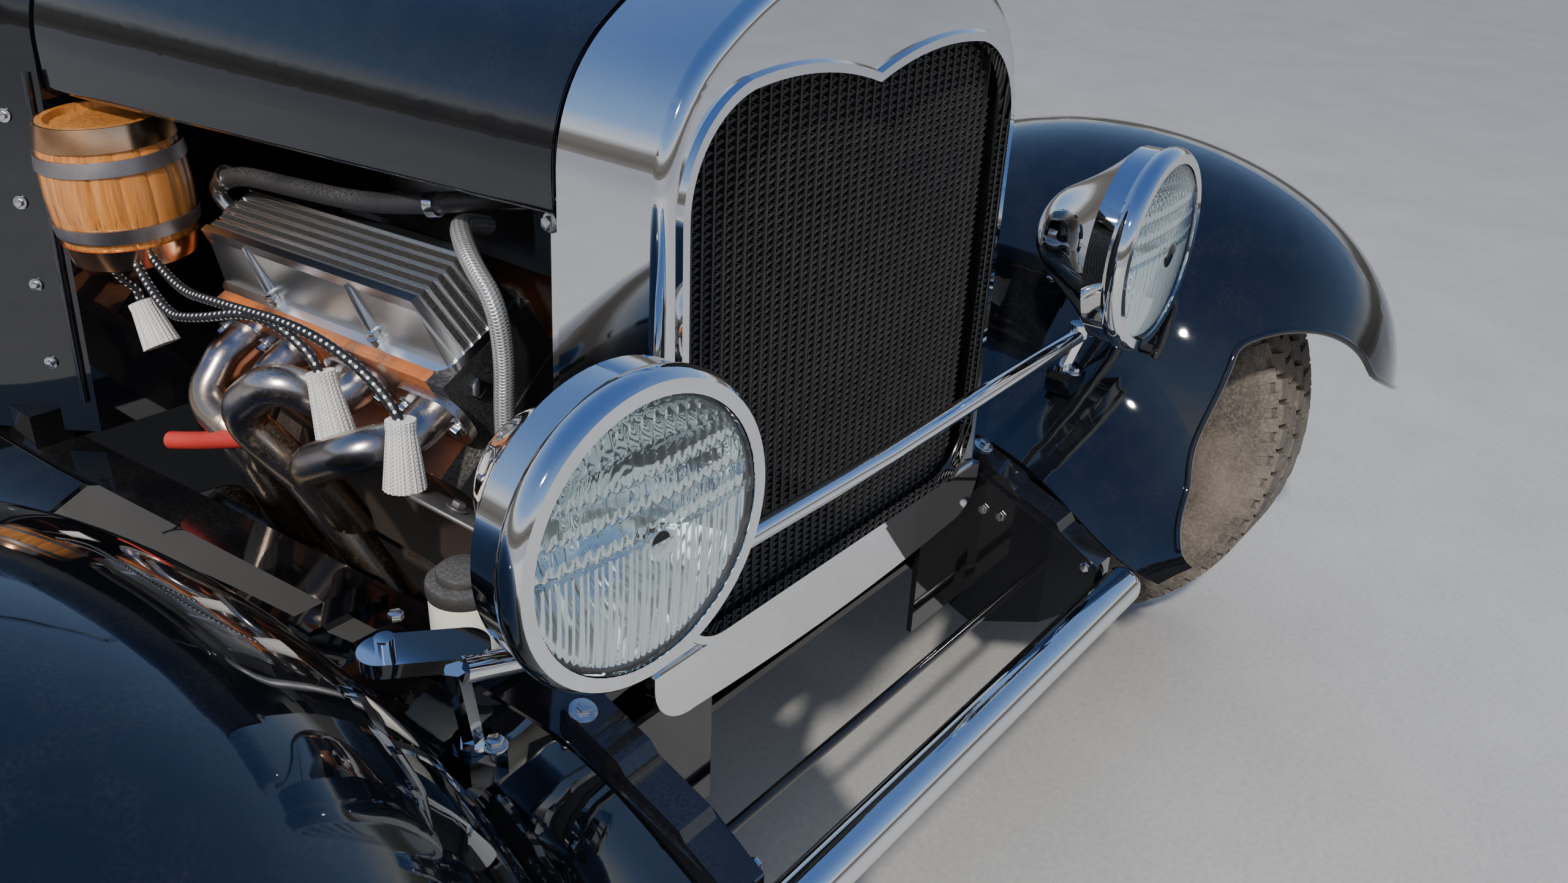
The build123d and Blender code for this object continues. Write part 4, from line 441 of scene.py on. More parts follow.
def tyre_rubber(props):
    """Worn rubber with road dust in patches and fine grit."""
    material, g, shader, _, _, _ = surface(
        "dusty tyre rubber", tuple(props.rubber), 0.72, dust=0.0, spread=0.1, bump=0.3
    )
    place = g.coords()
    worn = g.mask(g.noise(place, 9.0, 6.0, 0.65), 0.3, 0.75)
    grit = g.mask(g.noise(place, 260.0, 5.0, 0.75), 0.4, 0.7)
    brown = g.blend(worn, (0.04, 0.035, 0.03, 1.0), (0.17, 0.14, 0.11, 1.0))
    dusted = g.blend(g.math("MULTIPLY", grit, 0.5), brown, (0.26, 0.22, 0.18, 1.0))
    g.join(dusted, shader.inputs["Base Color"])
    return material


def seat_leather(props):
    """Leather with a fine grain of cells and soft folds."""
    material, g, shader, bumps, _, _ = surface(
        "grained leather", tuple(props.leather), 0.4, dust=0.1, spread=0.15, bump=0.3
    )
    cells = g.node("ShaderNodeTexVoronoi", feature="DISTANCE_TO_EDGE")
    g.join(g.coords(), cells.inputs["Vector"])
    cells.inputs["Scale"].default_value = 420.0
    folds = g.noise(g.coords(), 14.0, 4.0, 0.6, 0.6)
    g.join(g.math("ADD", g.mask(cells.outputs["Distance"], 0.0, 0.22), folds), bumps.inputs["Height"])
    shader.inputs["Sheen Weight"].default_value = 0.15
    return material


def braid(name, first, second, pitch, strands=3, rough=0.45, metal=0.0, spread=0.0):
    """Woven sleeve: strands that cross as they wind round the tube, from the tube's own attribute."""
    material = bpy.data.materials.new(name)
    material.use_nodes = True
    g = Graph(material.node_tree)
    shader = material.node_tree.nodes["Principled BSDF"]
    track = g.node("ShaderNodeAttribute", attribute_name="along")
    split = g.node("ShaderNodeSeparateXYZ")
    g.join(track.outputs["Vector"], split.inputs[0])
    angle = g.math("MULTIPLY", g.math("ARCTAN2", split.outputs["Z"], split.outputs["X"]), strands)
    length = g.math("MULTIPLY", split.outputs["Y"], 2 * math.pi * strands / pitch)
    one = g.math("SINE", g.math("ADD", length, angle))
    two = g.math("SINE", g.math("SUBTRACT", length, angle))
    weave = g.math("MULTIPLY", one, two)
    mask = g.mask(weave, spread - 0.15, spread + 0.15)
    soil = g.noise(g.coords(), 40.0, 4.0)
    dirty = g.blend(g.mask(soil, 0.4, 0.8), (*first, 1.0), (*[c * 0.7 for c in first], 1.0))
    g.join(g.blend(mask, dirty, (*second, 1.0)), shader.inputs["Base Color"])
    shader.inputs["Roughness"].default_value = rough
    shader.inputs["Metallic"].default_value = metal
    bumps = g.node("ShaderNodeBump")
    bumps.inputs["Strength"].default_value = 0.5
    bumps.inputs["Distance"].default_value = 0.0006
    g.join(g.math("MAXIMUM", one, two), bumps.inputs["Height"])
    g.join(bumps.outputs["Normal"], shader.inputs["Normal"])
    return material


# The left valve cover's own frame: x out and down, y rearward, z away from the head
COVER_LENGTH, RIB_PITCH = 0.332, 0.0096
COVER_FRAME = (
    Matrix.Translation(at_grille(197.0, 219.5, 638.0))
    @ Matrix.Rotation(math.radians(-2.3), 4, "X")
    @ Matrix.Rotation(math.radians(27.0), 4, "Y")
)
MATERIALS = {}


def make_materials(props):
    made = {
        "paint": plain(
            "deep black paint", tuple(props.paint), 0.03,
            dust=0.02, patch=30.0, coat=1.0, spread=0.015, bump=0.002,
        ),
        "chrome": plain(
            "chrome plate", tuple(props.chrome), 0.025, metal=1.0, dust=0.03, spread=0.025, bump=0.002
        ),
        "frame": plain(
            "frame black", (0.005, 0.005, 0.006), 0.07, dust=0.035, coat=0.8, spread=0.04, bump=0.004
        ),
        "satin": plain("satin black", (0.013, 0.013, 0.014), 0.32, dust=0.2, spread=0.2, bump=0.1),
        "core": plain("core black", (0.035, 0.034, 0.033), 0.38, metal=0.6, dust=0.35, patch=40.0, bump=0.1),
        "fins": plain("fin metal", (0.13, 0.125, 0.12), 0.4, metal=0.8, dust=0.3, patch=40.0, bump=0.1),
        "cover": cover_metal(),
        "alloy": plain("cast alloy", (0.6, 0.6, 0.6), 0.3, metal=1.0, dust=0.3, spread=0.2, bump=0.15),
        "header": header_steel(),
        "engine": engine_paint(),
        "oak": oak(),
        "hoops": keg_metal(),
        "lens": clear_glass("fluted lens glass", (0.90, 0.965, 0.965), 1.45),
        "screen": clear_glass("screen glass", (0.95, 0.98, 0.97), 1.2),
        "dark": plain("dark fitting metal", (0.045, 0.045, 0.048), 0.4, metal=0.5, dust=0.3, bump=0.1),
        "dash": plain("crackle dash paint", (0.014, 0.014, 0.016), 0.3, dust=0.1, bump=0.6),
        "grip": plain("hard black grip", (0.012, 0.012, 0.013), 0.22, dust=0.08, coat=0.4, bump=0.03),
        "rubber": tyre_rubber(props),
        "leather": seat_leather(props),
        "steel": plain("bright fastener steel", (0.75, 0.74, 0.72), 0.16, metal=1.0, dust=0.1, spread=0.15),
        "plate": plain("dull grey plate", (0.11, 0.105, 0.1), 0.42, metal=0.6, dust=0.25, bump=0.1),
        "hose": plain("ribbed black hose", (0.02, 0.02, 0.022), 0.42, dust=0.25, bump=0.2),
        "red_sleeve": plain("red cable sleeve", (0.55, 0.03, 0.02), 0.4, dust=0.2, bump=0.1),
        "red_lens": plain("red lamp plastic", (0.45, 0.006, 0.006), 0.08, dust=0.05, coat=1.0, bump=0.02),
        "dial": plain("cream dial face", (0.78, 0.74, 0.62), 0.4, dust=0.05),
        "silver_braid": braid("silver braid", (0.82, 0.82, 0.8), (0.42, 0.42, 0.41), 0.016, 6, 0.32, 0.7),
        "wire_braid": braid(
            "black and white braid", (0.014, 0.014, 0.016), (0.72, 0.72, 0.7), 0.026, 2, spread=0.62
        ),
        "boot": braid("white sleeve weave", (0.8, 0.78, 0.73), (0.46, 0.43, 0.39), 0.05, 16, 0.8),
    }
    MATERIALS.update(made)


CAD_FINISHES = {
    "paint": [
        "body_tub", "door_left", "door_right", "deck_lid", "hood_left", "hood_right", "front_fenders",
        "rear_fenders", "running_boards",
    ],
    "chrome": [
        "spreader_bars", "radiator_shell", "headlamp_bowls", "headlamp_bar", "windshield_frame", "hood_hinge",
        "tail_lamps",
    ],
    "frame": [
        "frame", "front_axle", "springs", "rear_axle", "knuckle_left", "knuckle_right", "tie_rod",
        "horn_covers", "wheel_front_left", "wheel_front_right", "wheel_rear_left", "wheel_rear_right",
    ],
    "satin": ["gearbox", "fuel_tank", "steering_column"],
    "core": ["radiator_core"],
    "cover": ["valve_covers"],
    "alloy": ["intake"],
    "header": ["exhaust_headers", "exhaust_pipes"],
    "engine": ["engine_block"],
    "oak": ["keg"],
    "hoops": ["keg_bands"],
    "lens": ["headlamp_lenses"],
    "screen": ["windshield_glass"],
    "dark": ["fan_and_pulleys"],
    "dash": ["dashboard"],
    "grip": ["steering_wheel", "cockpit_controls"],
    "rubber": ["tyre_front_left", "tyre_front_right", "tyre_rear_left", "tyre_rear_right"],
    "leather": ["seat_cushion", "seat_back"],
}


# Mesh parts


def piece(name, bm, finish, body="chassis", replaces=(), sharp=35.0, recalc=True):
    """Turns a bmesh into a finished piece at the origin that rides on a body."""
    if recalc:
        bmesh.ops.remove_doubles(bm, verts=bm.verts, dist=MERGE)
        bmesh.ops.recalc_face_normals(bm, faces=bm.faces)
    mesh = bpy.data.meshes.new(name)
    bm.to_mesh(mesh)
    bm.free()
    mesh.shade_smooth()
    mesh.set_sharp_from_angle(angle=math.radians(sharp))
    mesh.materials.append(MATERIALS[finish])
    obj = bpy.data.objects.new(name, mesh)
    bpy.context.scene.collection.objects.link(obj)
    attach(obj, body)
    if replaces:
        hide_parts(*replaces)
    return obj


def axis_matrix(start, end):
    """Frame at start whose z runs to end."""
    z = (Vector(end) - Vector(start)).normalized()
    return Matrix.Translation(start) @ z.to_track_quat("Z", "Y").to_matrix().to_4x4()


def soften(bm, edges, bevel):
    """Rounds edges by two small facets."""
    bmesh.ops.bevel(
        bm, geom=list(edges), offset=bevel, segments=2, profile=0.5, affect="EDGES", material=-1,
        offset_type="OFFSET", clamp_overlap=True,
    )


def add_rod(bm, start, end, radius, segments=20, end_radius=None, bevel=0.0):
    """Closed round bar or cone between two points, its end edges rounded by bevel."""
    start, end = Vector(start), Vector(end)
    length = (end - start).length
    place = axis_matrix(start, end) @ Matrix.Translation((0, 0, length / 2))
    made = bmesh.ops.create_cone(
        bm, cap_ends=True, segments=segments, radius1=radius,
        radius2=radius if end_radius is None else end_radius, depth=length, matrix=place,
    )
    if bevel:
        around = {e for v in made["verts"] for e in v.link_edges if len(e.link_faces) == 2}
        soften(bm, {e for e in around if any(len(f.verts) > 4 for f in e.link_faces)}, bevel)


def add_block(bm, matrix, size, bevel=0.0):
    """Box of the given size in a frame, with rounded edges."""
    made = bmesh.ops.create_cube(bm, size=1.0, matrix=matrix @ Matrix.Diagonal((*size, 1.0)))
    if bevel:
        soften(bm, {e for v in made["verts"] for e in v.link_edges}, bevel)


def add_bolt(bm, place, radius, height, washer=0.0):
    """Hex bolt head standing along the frame's z, with a washer under it."""
    start = place.translation
    up = place.to_3x3() @ Vector((0, 0, 1))
    if washer:
        seat = start + up * 0.0018
        add_rod(bm, start, seat, washer, 28, bevel=0.0004)
        start = seat
    add_rod(bm, start, start + up * height, radius, 6, bevel=radius * 0.12)


def spun(bm, profile, centre, axis, steps, closed=False):
    """Spins a profile of points round an axis into a closed ring surface."""
    verts = [bm.verts.new(p) for p in profile]
    edges = [bm.edges.new(pair) for pair in zip(verts, verts[1:])]
    if closed:
        edges.append(bm.edges.new((verts[-1], verts[0])))
    return bmesh.ops.spin(
        bm, geom=verts + edges, cent=centre, axis=axis, dvec=(0, 0, 0), angle=2 * math.pi, steps=steps,
        use_merge=True, use_normal_flip=False, use_duplicate=False,
    )


def ring_section(along, out, radius, count=12):
    """Points of a small circle round (along, out), from which a ring is spun."""
    turns = [2 * math.pi * step / count for step in range(count)]
    return [(along + radius * math.sin(turn), out + radius * math.cos(turn)) for turn in turns]


def smooth_path(points, samples):
    """Even points and their directions on the smooth curve that a route's points steer."""
    curve = bpy.data.curves.new("route", "CURVE")
    curve.dimensions = "3D"
    line = curve.splines.new("NURBS")
    line.points.add(len(points) - 1)
    for point, spot in zip(line.points, points):
        point.co = (*spot, 1.0)
    line.order_u = 3
    line.use_endpoint_u = True
    line.resolution_u = 24
    holder = bpy.data.objects.new("route", curve)
    mesh = bpy.data.meshes.new_from_object(holder)
    raw = [v.co.copy() for v in mesh.vertices]
    bpy.data.objects.remove(holder)
    bpy.data.curves.remove(curve)
    bpy.data.meshes.remove(mesh)
    reach = [0.0]
    for a, b in zip(raw, raw[1:]):
        reach.append(reach[-1] + (b - a).length)
    total = reach[-1]
    spots = []
    index = 0
    for step in range(samples + 1):
        goal = total * step / samples
        while index < len(reach) - 2 and reach[index + 1] < goal:
            index += 1
        span = reach[index + 1] - reach[index]
        share = (goal - reach[index]) / span if span else 0.0
        spots.append(raw[index].lerp(raw[index + 1], min(1.0, max(0.0, share))))
    return spots, total


def add_tube(bm, points, radius, sides, samples, shape=None):
    """Closed tube along a route, where shape(share, turn) scales the radius.

    The attribute "along" keeps how far along and round the tube each point is.
    """
    spots, total = smooth_path(points, samples)
    layer = bm.verts.layers.float_vector.get("along") or bm.verts.layers.float_vector.new("along")
    ring = side = None
    for index, spot in enumerate(spots):
        ahead = spots[min(index + 1, len(spots) - 1)] - spots[max(index - 1, 0)]
        ahead.normalize()
        if side is None:
            side = ahead.orthogonal().normalized()
        side = (side - ahead * side.dot(ahead)).normalized()
        other = ahead.cross(side)
        end = index in (0, len(spots) - 1)
        made = bmesh.ops.create_circle(bm, cap_ends=end, segments=sides, radius=radius)
        turn = Matrix((side, other, ahead)).transposed().to_4x4()
        share = index / (len(spots) - 1)
        for number, vert in enumerate(made["verts"]):
            scale = shape(share, number / sides) if shape else 1.0
            vert.co = spot + (turn @ Vector((*(vert.co.xy * scale), 0.0))).xyz
            angle = 2 * math.pi * number / sides
            vert[layer] = (math.cos(angle), share * total, math.sin(angle))
        near = {e for v in made["verts"] for e in v.link_edges}
        edges = [e for e in near if all(v in made["verts"] for v in e.verts)]
        if ring:
            bmesh.ops.bridge_loops(bm, edges=ring + edges)
        ring = edges


# Sizes and colours


class HotRodProperties(bpy.types.PropertyGroup):
    paint: bpy.props.FloatVectorProperty(
        name="Body paint", description="Colour of the body, hood and fenders", subtype="COLOR",
        default=(0.0035, 0.004, 0.0055), min=0, max=1,
    )
    chrome: bpy.props.FloatVectorProperty(
        name="Chrome", description="Colour of the plated parts", subtype="COLOR",
        default=(0.88, 0.885, 0.89), min=0, max=1,
    )
    rubber: bpy.props.FloatVectorProperty(
        name="Tyre rubber", description="Colour of the tyres under the dust", subtype="COLOR",
        default=(0.05, 0.045, 0.04), min=0, max=1,
    )
    leather: bpy.props.FloatVectorProperty(
        name="Seat leather", description="Colour of the seat covers", subtype="COLOR",
        default=(0.035, 0.02, 0.013), min=0, max=1,
    )
    fin_pitch: bpy.props.FloatProperty(
        name="Fin pitch", description="Height of one fold of the radiator fins", default=0.0062, unit="LENGTH"
    )
    tread_pitches: bpy.props.IntProperty(
        name="Tread blocks", description="Blocks round one tyre", default=64, min=24
    )
    tread_depth: bpy.props.FloatProperty(
        name="Tread depth", description="Depth of the grooves in the tyres", default=0.008, unit="LENGTH"
    )
    staves: bpy.props.IntProperty(name="Staves", description="Staves round the keg", default=16, min=8)
    lens_flutes: bpy.props.IntProperty(
        name="Lens flutes", description="Flutes across a headlamp lens", default=34, min=8
    )
    seat_crown: bpy.props.FloatProperty(
        name="Seat crown", description="Most that the seat pads may swell", default=0.016, unit="LENGTH"
    )


def properties():
    return bpy.context.scene.hot_rod


class HOTROD_OT_finishes(bpy.types.Operator):
    """Makes the finishes and puts one on every solid"""

    bl_idname = "hotrod.finishes"
    bl_label = "Finishes"

    def execute(self, context):
        make_materials(properties())
        finishes = {node: finish for finish, nodes in CAD_FINISHES.items() for node in nodes}
        for node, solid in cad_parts.items():
            if not solid.material_slots:
                raise RuntimeError(f"{node} has no material slot")
            for slot in solid.material_slots:
                slot.material = MATERIALS[finishes[node]]
        return {"FINISHED"}


class HOTROD_OT_radiator_fins(bpy.types.Operator):
    """Folds the fin strips between the radiator tubes"""

    bl_idname = "hotrod.radiator_fins"
    bl_label = "Radiator fins"

    def execute(self, context):
        props = properties()
        count = int((2 * OPENING_HALF - 0.008) / FIN_SPACING)
        front, deep = GRILLE_Y + FIN_FRONT, GRILLE_Y + FIN_BACK
        low, high = CORE_LOW.z + 0.004, CORE_HIGH.z - 0.004
        bm = bmesh.new()
        half = FIN_SPACING / 2 - 0.0013
        for index in range(count + 1):
            x = (index - count / 2) * FIN_SPACING
            room_low, room_high = self.room(x)
            bottom, top = max(low, room_low), min(high, room_high)
            folds = int((top - bottom) / (props.fin_pitch / 2))
            first = [bm.verts.new((x - half, front, bottom)), bm.verts.new((x - half, deep, bottom))]
            edge = bm.edges.new(first)
            for fold in range(folds):
                made = bmesh.ops.extrude_edge_only(bm, edges=[edge])["geom"]
                verts = [g for g in made if isinstance(g, bmesh.types.BMVert)]
                edges = [g for g in made if isinstance(g, bmesh.types.BMEdge)]
                edge = next(e for e in edges if e.verts[0] in verts and e.verts[1] in verts)
                reach = half if fold % 2 == 0 else -half
                for vert in verts:
                    vert.co.x = x + reach
                    vert.co.z = bottom + (fold + 1) * props.fin_pitch / 2
        obj = piece("radiator_fins", bm, "fins", recalc=False, sharp=20.0)
        wall = obj.modifiers.new("thickness", "SOLIDIFY")
        wall.thickness = FIN_WALL
        wall.offset = 0.0
        return {"FINISHED"}

    def room(self, x):
        """Bottom and top of the grille opening at x, a little beyond its edge."""
        across = abs(x)
        bottom = OPENING_FLOOR
        corner = OPENING_CORNER
        if across > OPENING_HALF - corner:
            reach = min(corner, across - (OPENING_HALF - corner))
            bottom += corner - math.sqrt(max(0.0, corner * corner - reach * reach))
        if across < OPENING_DIP:
            top = 0.852 + 0.018 * math.sin(min(1.0, across / 0.1) * math.pi / 2)
        else:
            share = (across - OPENING_DIP) / (OPENING_HALF - OPENING_DIP)
            top = 0.866 - 0.078 * share**2.2
        return bottom - 0.004, top + 0.006


class HOTROD_OT_tyres(bpy.types.Operator):
    """Builds the tyres with their tread blocks and side rings"""

    bl_idname = "hotrod.tyres"
    bl_label = "Tyres"

    def execute(self, context):
        props = properties()
        table = [
            ("front", FRONT_TYRE_WIDTH, (TYRE_HIGH.z - TYRE_LOW.z) / 2, 4),
            ("rear", REAR_TYRE_WIDTH, (REAR_TYRE_HIGH.z - REAR_TYRE_LOW.z) / 2, 5),
        ]
        for end, width, radius, rows in table:
            for side in ("left", "right"):
                node = f"tyre_{end}_{side}"
                low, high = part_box(node)
                centre = (low + high) / 2
                bm = bmesh.new()
                self.carcass(bm, centre, width, radius, props)
                self.blocks(bm, centre, width, radius, rows, props)
                wheel = f"wheel_{end}_{side}"
                piece(f"{node}_treaded", bm, "rubber", wheel, [node], sharp=30.0)
        return {"FINISHED"}

    def carcass(self, bm, centre, width, radius, props):
        """Spun body of the tyre with the rings on its sides."""
        half = width / 2
        floor = radius - props.tread_depth
        wall = radius - RIM_SEAT
        # Share of the half width and share of the side wall's height
        side = [
            (0.93, 0.2), (0.975, 0.34), (0.985, 0.36), (0.985, 0.4), (0.998, 0.42), (1.0, 0.5), (0.99, 0.62),
            (0.97, 0.7), (0.955, 0.71), (0.95, 0.76), (0.94, 0.84),
        ]
        outline = [(half * 0.8, RIM_SEAT), (half * 0.8, RIM_SEAT + 0.009), (half * 0.86, RIM_SEAT + 0.012)]
        outline += [(half * across, RIM_SEAT + wall * up) for across, up in side]
        outline += [(half - 0.010, radius - 0.018), (half - 0.016, floor - 0.002), (half - SHOULDER, floor)]
        profile = outline + [(-x, r) for x, r in reversed(outline)]
        points = [centre + Vector((x, 0, r)) for x, r in profile]
        spun(bm, points, centre, (1, 0, 0), 96, closed=True)

    def blocks(self, bm, centre, width, radius, rows, props):
        """Rows of skewed tread blocks, with bars on the shoulders beside the edge rows."""
        depth = props.tread_depth
        row_width = (width - 2 * SHOULDER) / rows
        step = 2 * math.pi / props.tread_pitches
        arc = step * radius
        for row in range(rows):
            x = (row - (rows - 1) / 2) * row_width
            edge_row = row in (0, rows - 1)
            for number in range(props.tread_pitches):
                angle = (number + (0.5 if row % 2 else 0.0)) * step
                turn = Matrix.Translation(centre) @ Matrix.Rotation(angle, 4, "X")
                skew = Matrix.Rotation(0.22 if row % 2 else -0.22, 4, "Z")
                wide = row_width * (0.86 if not edge_row else 0.92)
                place = turn @ Matrix.Translation((x, 0, radius - depth / 2 - 0.0006)) @ skew
                block = place @ Matrix.Diagonal((wide, arc * 0.8, depth + 0.001, 1))
                made = bmesh.ops.create_cube(bm, size=1.0, matrix=block)
                top = [v for v in made["verts"] if (turn.inverted() @ v.co).z > radius - 0.003]
                bmesh.ops.scale(bm, verts=top, vec=(0.94, 0.94, 0.94), space=place.inverted())
            if edge_row:
                side = 1 if x > 0 else -1
                for number in range(props.tread_pitches):
                    angle = (number + 0.25) * step
                    turn = Matrix.Translation(centre) @ Matrix.Rotation(angle, 4, "X")
                    spot = Matrix.Translation((side * (width / 2 - 0.0165), 0, radius - 0.0135))
                    lean = Matrix.Rotation(side * math.radians(52), 4, "Y")
                    bar = turn @ spot @ lean @ Matrix.Diagonal((0.022, arc * 0.55, 0.008, 1))
                    bmesh.ops.create_cube(bm, size=1.0, matrix=bar)


class HOTROD_OT_keg(bpy.types.Operator):
    """Builds the keg from staves with joints between them"""

    bl_idname = "hotrod.keg"
    bl_label = "Keg"

    def execute(self, context):
        props = properties()
        centre = (KEG_LOW + KEG_HIGH) / 2
        half, middle, end = 0.064, 0.062, 0.052
        turn = Matrix.Translation(centre) @ Matrix.Rotation(math.radians(-4), 4, "Y")
        drop = middle - end
        levels = [-half + 2 * half * step / 14 for step in range(15)]
        wall = [(end + drop * (1 - (z / half) ** 2), z) for z in levels]
        head = half - 0.006
        outline = [(0.0, -head), (end - 0.007, -head), (end - 0.006, -half)] + wall
        outline += [(end - 0.006, half), (end - 0.007, head), (0.0, head)]
        bm = bmesh.new()
        each = 6
        profile = [Vector((0, out, z)) for out, z in outline]
        spun(bm, profile, (0, 0, 0), (0, 0, 1), props.staves * each)
        bmesh.ops.remove_doubles(bm, verts=bm.verts, dist=MERGE)
        step = 2 * math.pi / (props.staves * each)
        for vert in bm.verts:
            away = vert.co.xy.length
            number = round((math.atan2(vert.co.y, vert.co.x) - math.pi / 2) / step)
            if away > end - 0.002 and number % each == 0:
                vert.co.xy *= (away - 0.0014) / away
        bmesh.ops.transform(bm, matrix=turn, verts=bm.verts)
        piece("keg_staves", bm, "oak", replaces=["keg"], sharp=24.0)
        return {"FINISHED"}


class HOTROD_OT_lamps(bpy.types.Operator):
    """Puts fluted glass, a reflector and a gasket in each headlamp, and lenses in the tail lamps"""

    bl_idname = "hotrod.lamps"
    bl_label = "Lamps"

    def execute(self, context):
        props = properties()
        x, y, z = LAMP_PLACE
        for side, name in ((1, "left"), (-1, "right")):
            centre = Matrix.Translation(at_grille(side * x, y, z))
            place = centre @ Matrix.Rotation(LAMP_TURN * side, 4, "Z")
            self.flutes(name, place, props)
            self.reflector(name, place)
        self.tail()
        return {"FINISHED"}

    def flutes(self, name, place, props):
        """Pressed pattern behind the lens: beads at the top, blocks above the middle, flutes below."""
        radius = LAMP_GLASS
        bm = bmesh.new()
        cells = 150
        bmesh.ops.create_grid(bm, x_segments=cells, y_segments=cells, size=radius)
        outside = [v for v in bm.verts if v.co.xy.length > radius]
        bmesh.ops.delete(bm, geom=outside, context="VERTS")
        pitch = 2 * radius / props.lens_flutes
        for vert in bm.verts:
            x, z = vert.co.x, vert.co.y
            away = min(1.0, math.hypot(x, z) / radius)
            dome = 0.0055 * (1 - away**2)
            if z > 0.058:
                rise = 0.0008 * math.cos(2 * math.pi * x / 0.009) * math.cos(math.pi * (z - 0.065) / 0.016)
            elif z > 0.004:
                band = (z - 0.004) / 0.0185
                shade = math.sin(math.pi * (band % 1.0))
                shift = 0.5 * (int(band) % 2)
                rise = 0.0007 * math.cos(2 * math.pi * (x / (pitch * 1.7) + shift)) + 0.0013 * shade
            else:
                rise = 0.0016 * abs(math.cos(math.pi * x / pitch))
            fade = min(1.0, (1 - away) * 14)
            vert.co = Vector((x, -dome + 0.0075 - rise * fade, z))
        bmesh.ops.solidify(bm, geom=bm.faces, thickness=0.0016)
        bmesh.ops.transform(bm, matrix=place, verts=bm.verts)
        piece(f"lamp_flutes_{name}", bm, "lens", sharp=60.0)

    def reflector(self, name, place):
        """Dish behind the glass, and the gasket that the glass sits in."""
        bm = bmesh.new()
        reaches = [LAMP_MOUTH * step / 24 for step in range(25)]
        dish = [Vector((0, LAMP_DEPTH - 9.52 * reach * reach, reach)) for reach in reaches]
        spun(bm, dish, (0, 0, 0), (0, 1, 0), 96)
        bmesh.ops.remove_doubles(bm, verts=bm.verts, dist=MERGE)
        bmesh.ops.recalc_face_normals(bm, faces=bm.faces)
        bmesh.ops.solidify(bm, geom=bm.faces, thickness=0.0008)
        bmesh.ops.transform(bm, matrix=place, verts=bm.verts)
        piece(f"lamp_reflector_{name}", bm, "chrome")
        bm = bmesh.new()
        ring = [Vector((0, along, out)) for along, out in ring_section(0.0145, 0.0862, 0.0022)]
        spun(bm, ring, (0, 0, 0), (0, 1, 0), 96, closed=True)
        bmesh.ops.transform(bm, matrix=place, verts=bm.verts)
        piece(f"lamp_gasket_{name}", bm, "hose")

    def tail(self):
        """Stepped red lens on the face of each tail lamp."""
        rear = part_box("tail_lamps")[1].y
        for side, name in ((1, "left"), (-1, "right")):
            bm = bmesh.new()
            outline = [
                (-0.004, 0.034), (0.001, 0.0335), (0.004, 0.029), (0.0035, 0.024), (0.006, 0.018),
                (0.0055, 0.011), (0.007, 0.0),
            ]
            profile = [Vector((0, y, r)) for y, r in outline]
            spun(bm, profile, (0, 0, 0), (0, 1, 0), 48)
            bmesh.ops.translate(bm, verts=bm.verts, vec=(side * TAIL_LAMP_X, rear, TAIL_LAMP_Z))
            piece(f"tail_lens_{name}", bm, "red_lens")


class HOTROD_OT_fasteners(bpy.types.Operator):
    """Adds the bolts of the shell, horns, covers and lamp bar"""

    bl_idname = "hotrod.fasteners"
    bl_label = "Fasteners"

    # Place on the left side in millimetres, the way it faces, head size, height and washer
    TABLE = [
        ((293, 20, 428.2), (0, -0.32, 0.95), 0.0060, 0.005, 0.0112),
        ((221, 113.4, 765), (1, 0, 0.03), 0.0055, 0.004, 0.0075),
        ((223, 112, 520), (1, 0, 0.03), 0.0045, 0.003, 0.006),
        ((216, 218, 604), (0, -1, 0.04), 0.0085, 0.006, 0.0),
        ((405, -20, 490), (0, 0, 1), 0.0062, 0.005, 0.0085),
        ((264, -4.7, 372.8), (-1, 0, 0), 0.0055, 0.004, 0.0),
        ((264, -25.6, 372.1), (-1, 0, 0), 0.0055, 0.004, 0.0),
        ((267, -125.4, 351), (-1, -0.08, 0), 0.0055, 0.004, 0.0),
        ((430, 35, 576), (0, 0, 1), 0.0050, 0.005, 0.0),
    ]

    def execute(self, context):
        bm = bmesh.new()
        for side in (-1, 1):
            mirror = Matrix.Diagonal((side, 1, 1, 1))
            lean = Matrix.Rotation(math.radians(27.0 * side), 4, "Y")
            for share in (0.27, 0.72):
                spot = mirror @ COVER_FRAME @ Vector((0.042, COVER_LENGTH * share, 0.015))
                add_bolt(bm, Matrix.Translation(spot) @ lean, 0.0052, 0.005, 0.0078)
            out = (mirror @ COVER_FRAME).to_3x3() @ Vector((1, 0, 0))
            for along in (0.03, 0.13, 0.218, 0.306):
                for reach in (-0.034, 0.034):
                    spot = mirror @ COVER_FRAME @ Vector((0.0643, along + reach, -0.036))
                    add_bolt(bm, axis_matrix(spot, spot + out), 0.006, 0.006, 0.0085)
            for spot, out, size, height, washer in self.TABLE:
                start = at_grille(side * spot[0], spot[1], spot[2])
                end = start + Vector((side * out[0], out[1], out[2]))
                add_bolt(bm, axis_matrix(start, end), size, height, washer)
        piece("bright_bolts", bm, "steel")
        return {"FINISHED"}


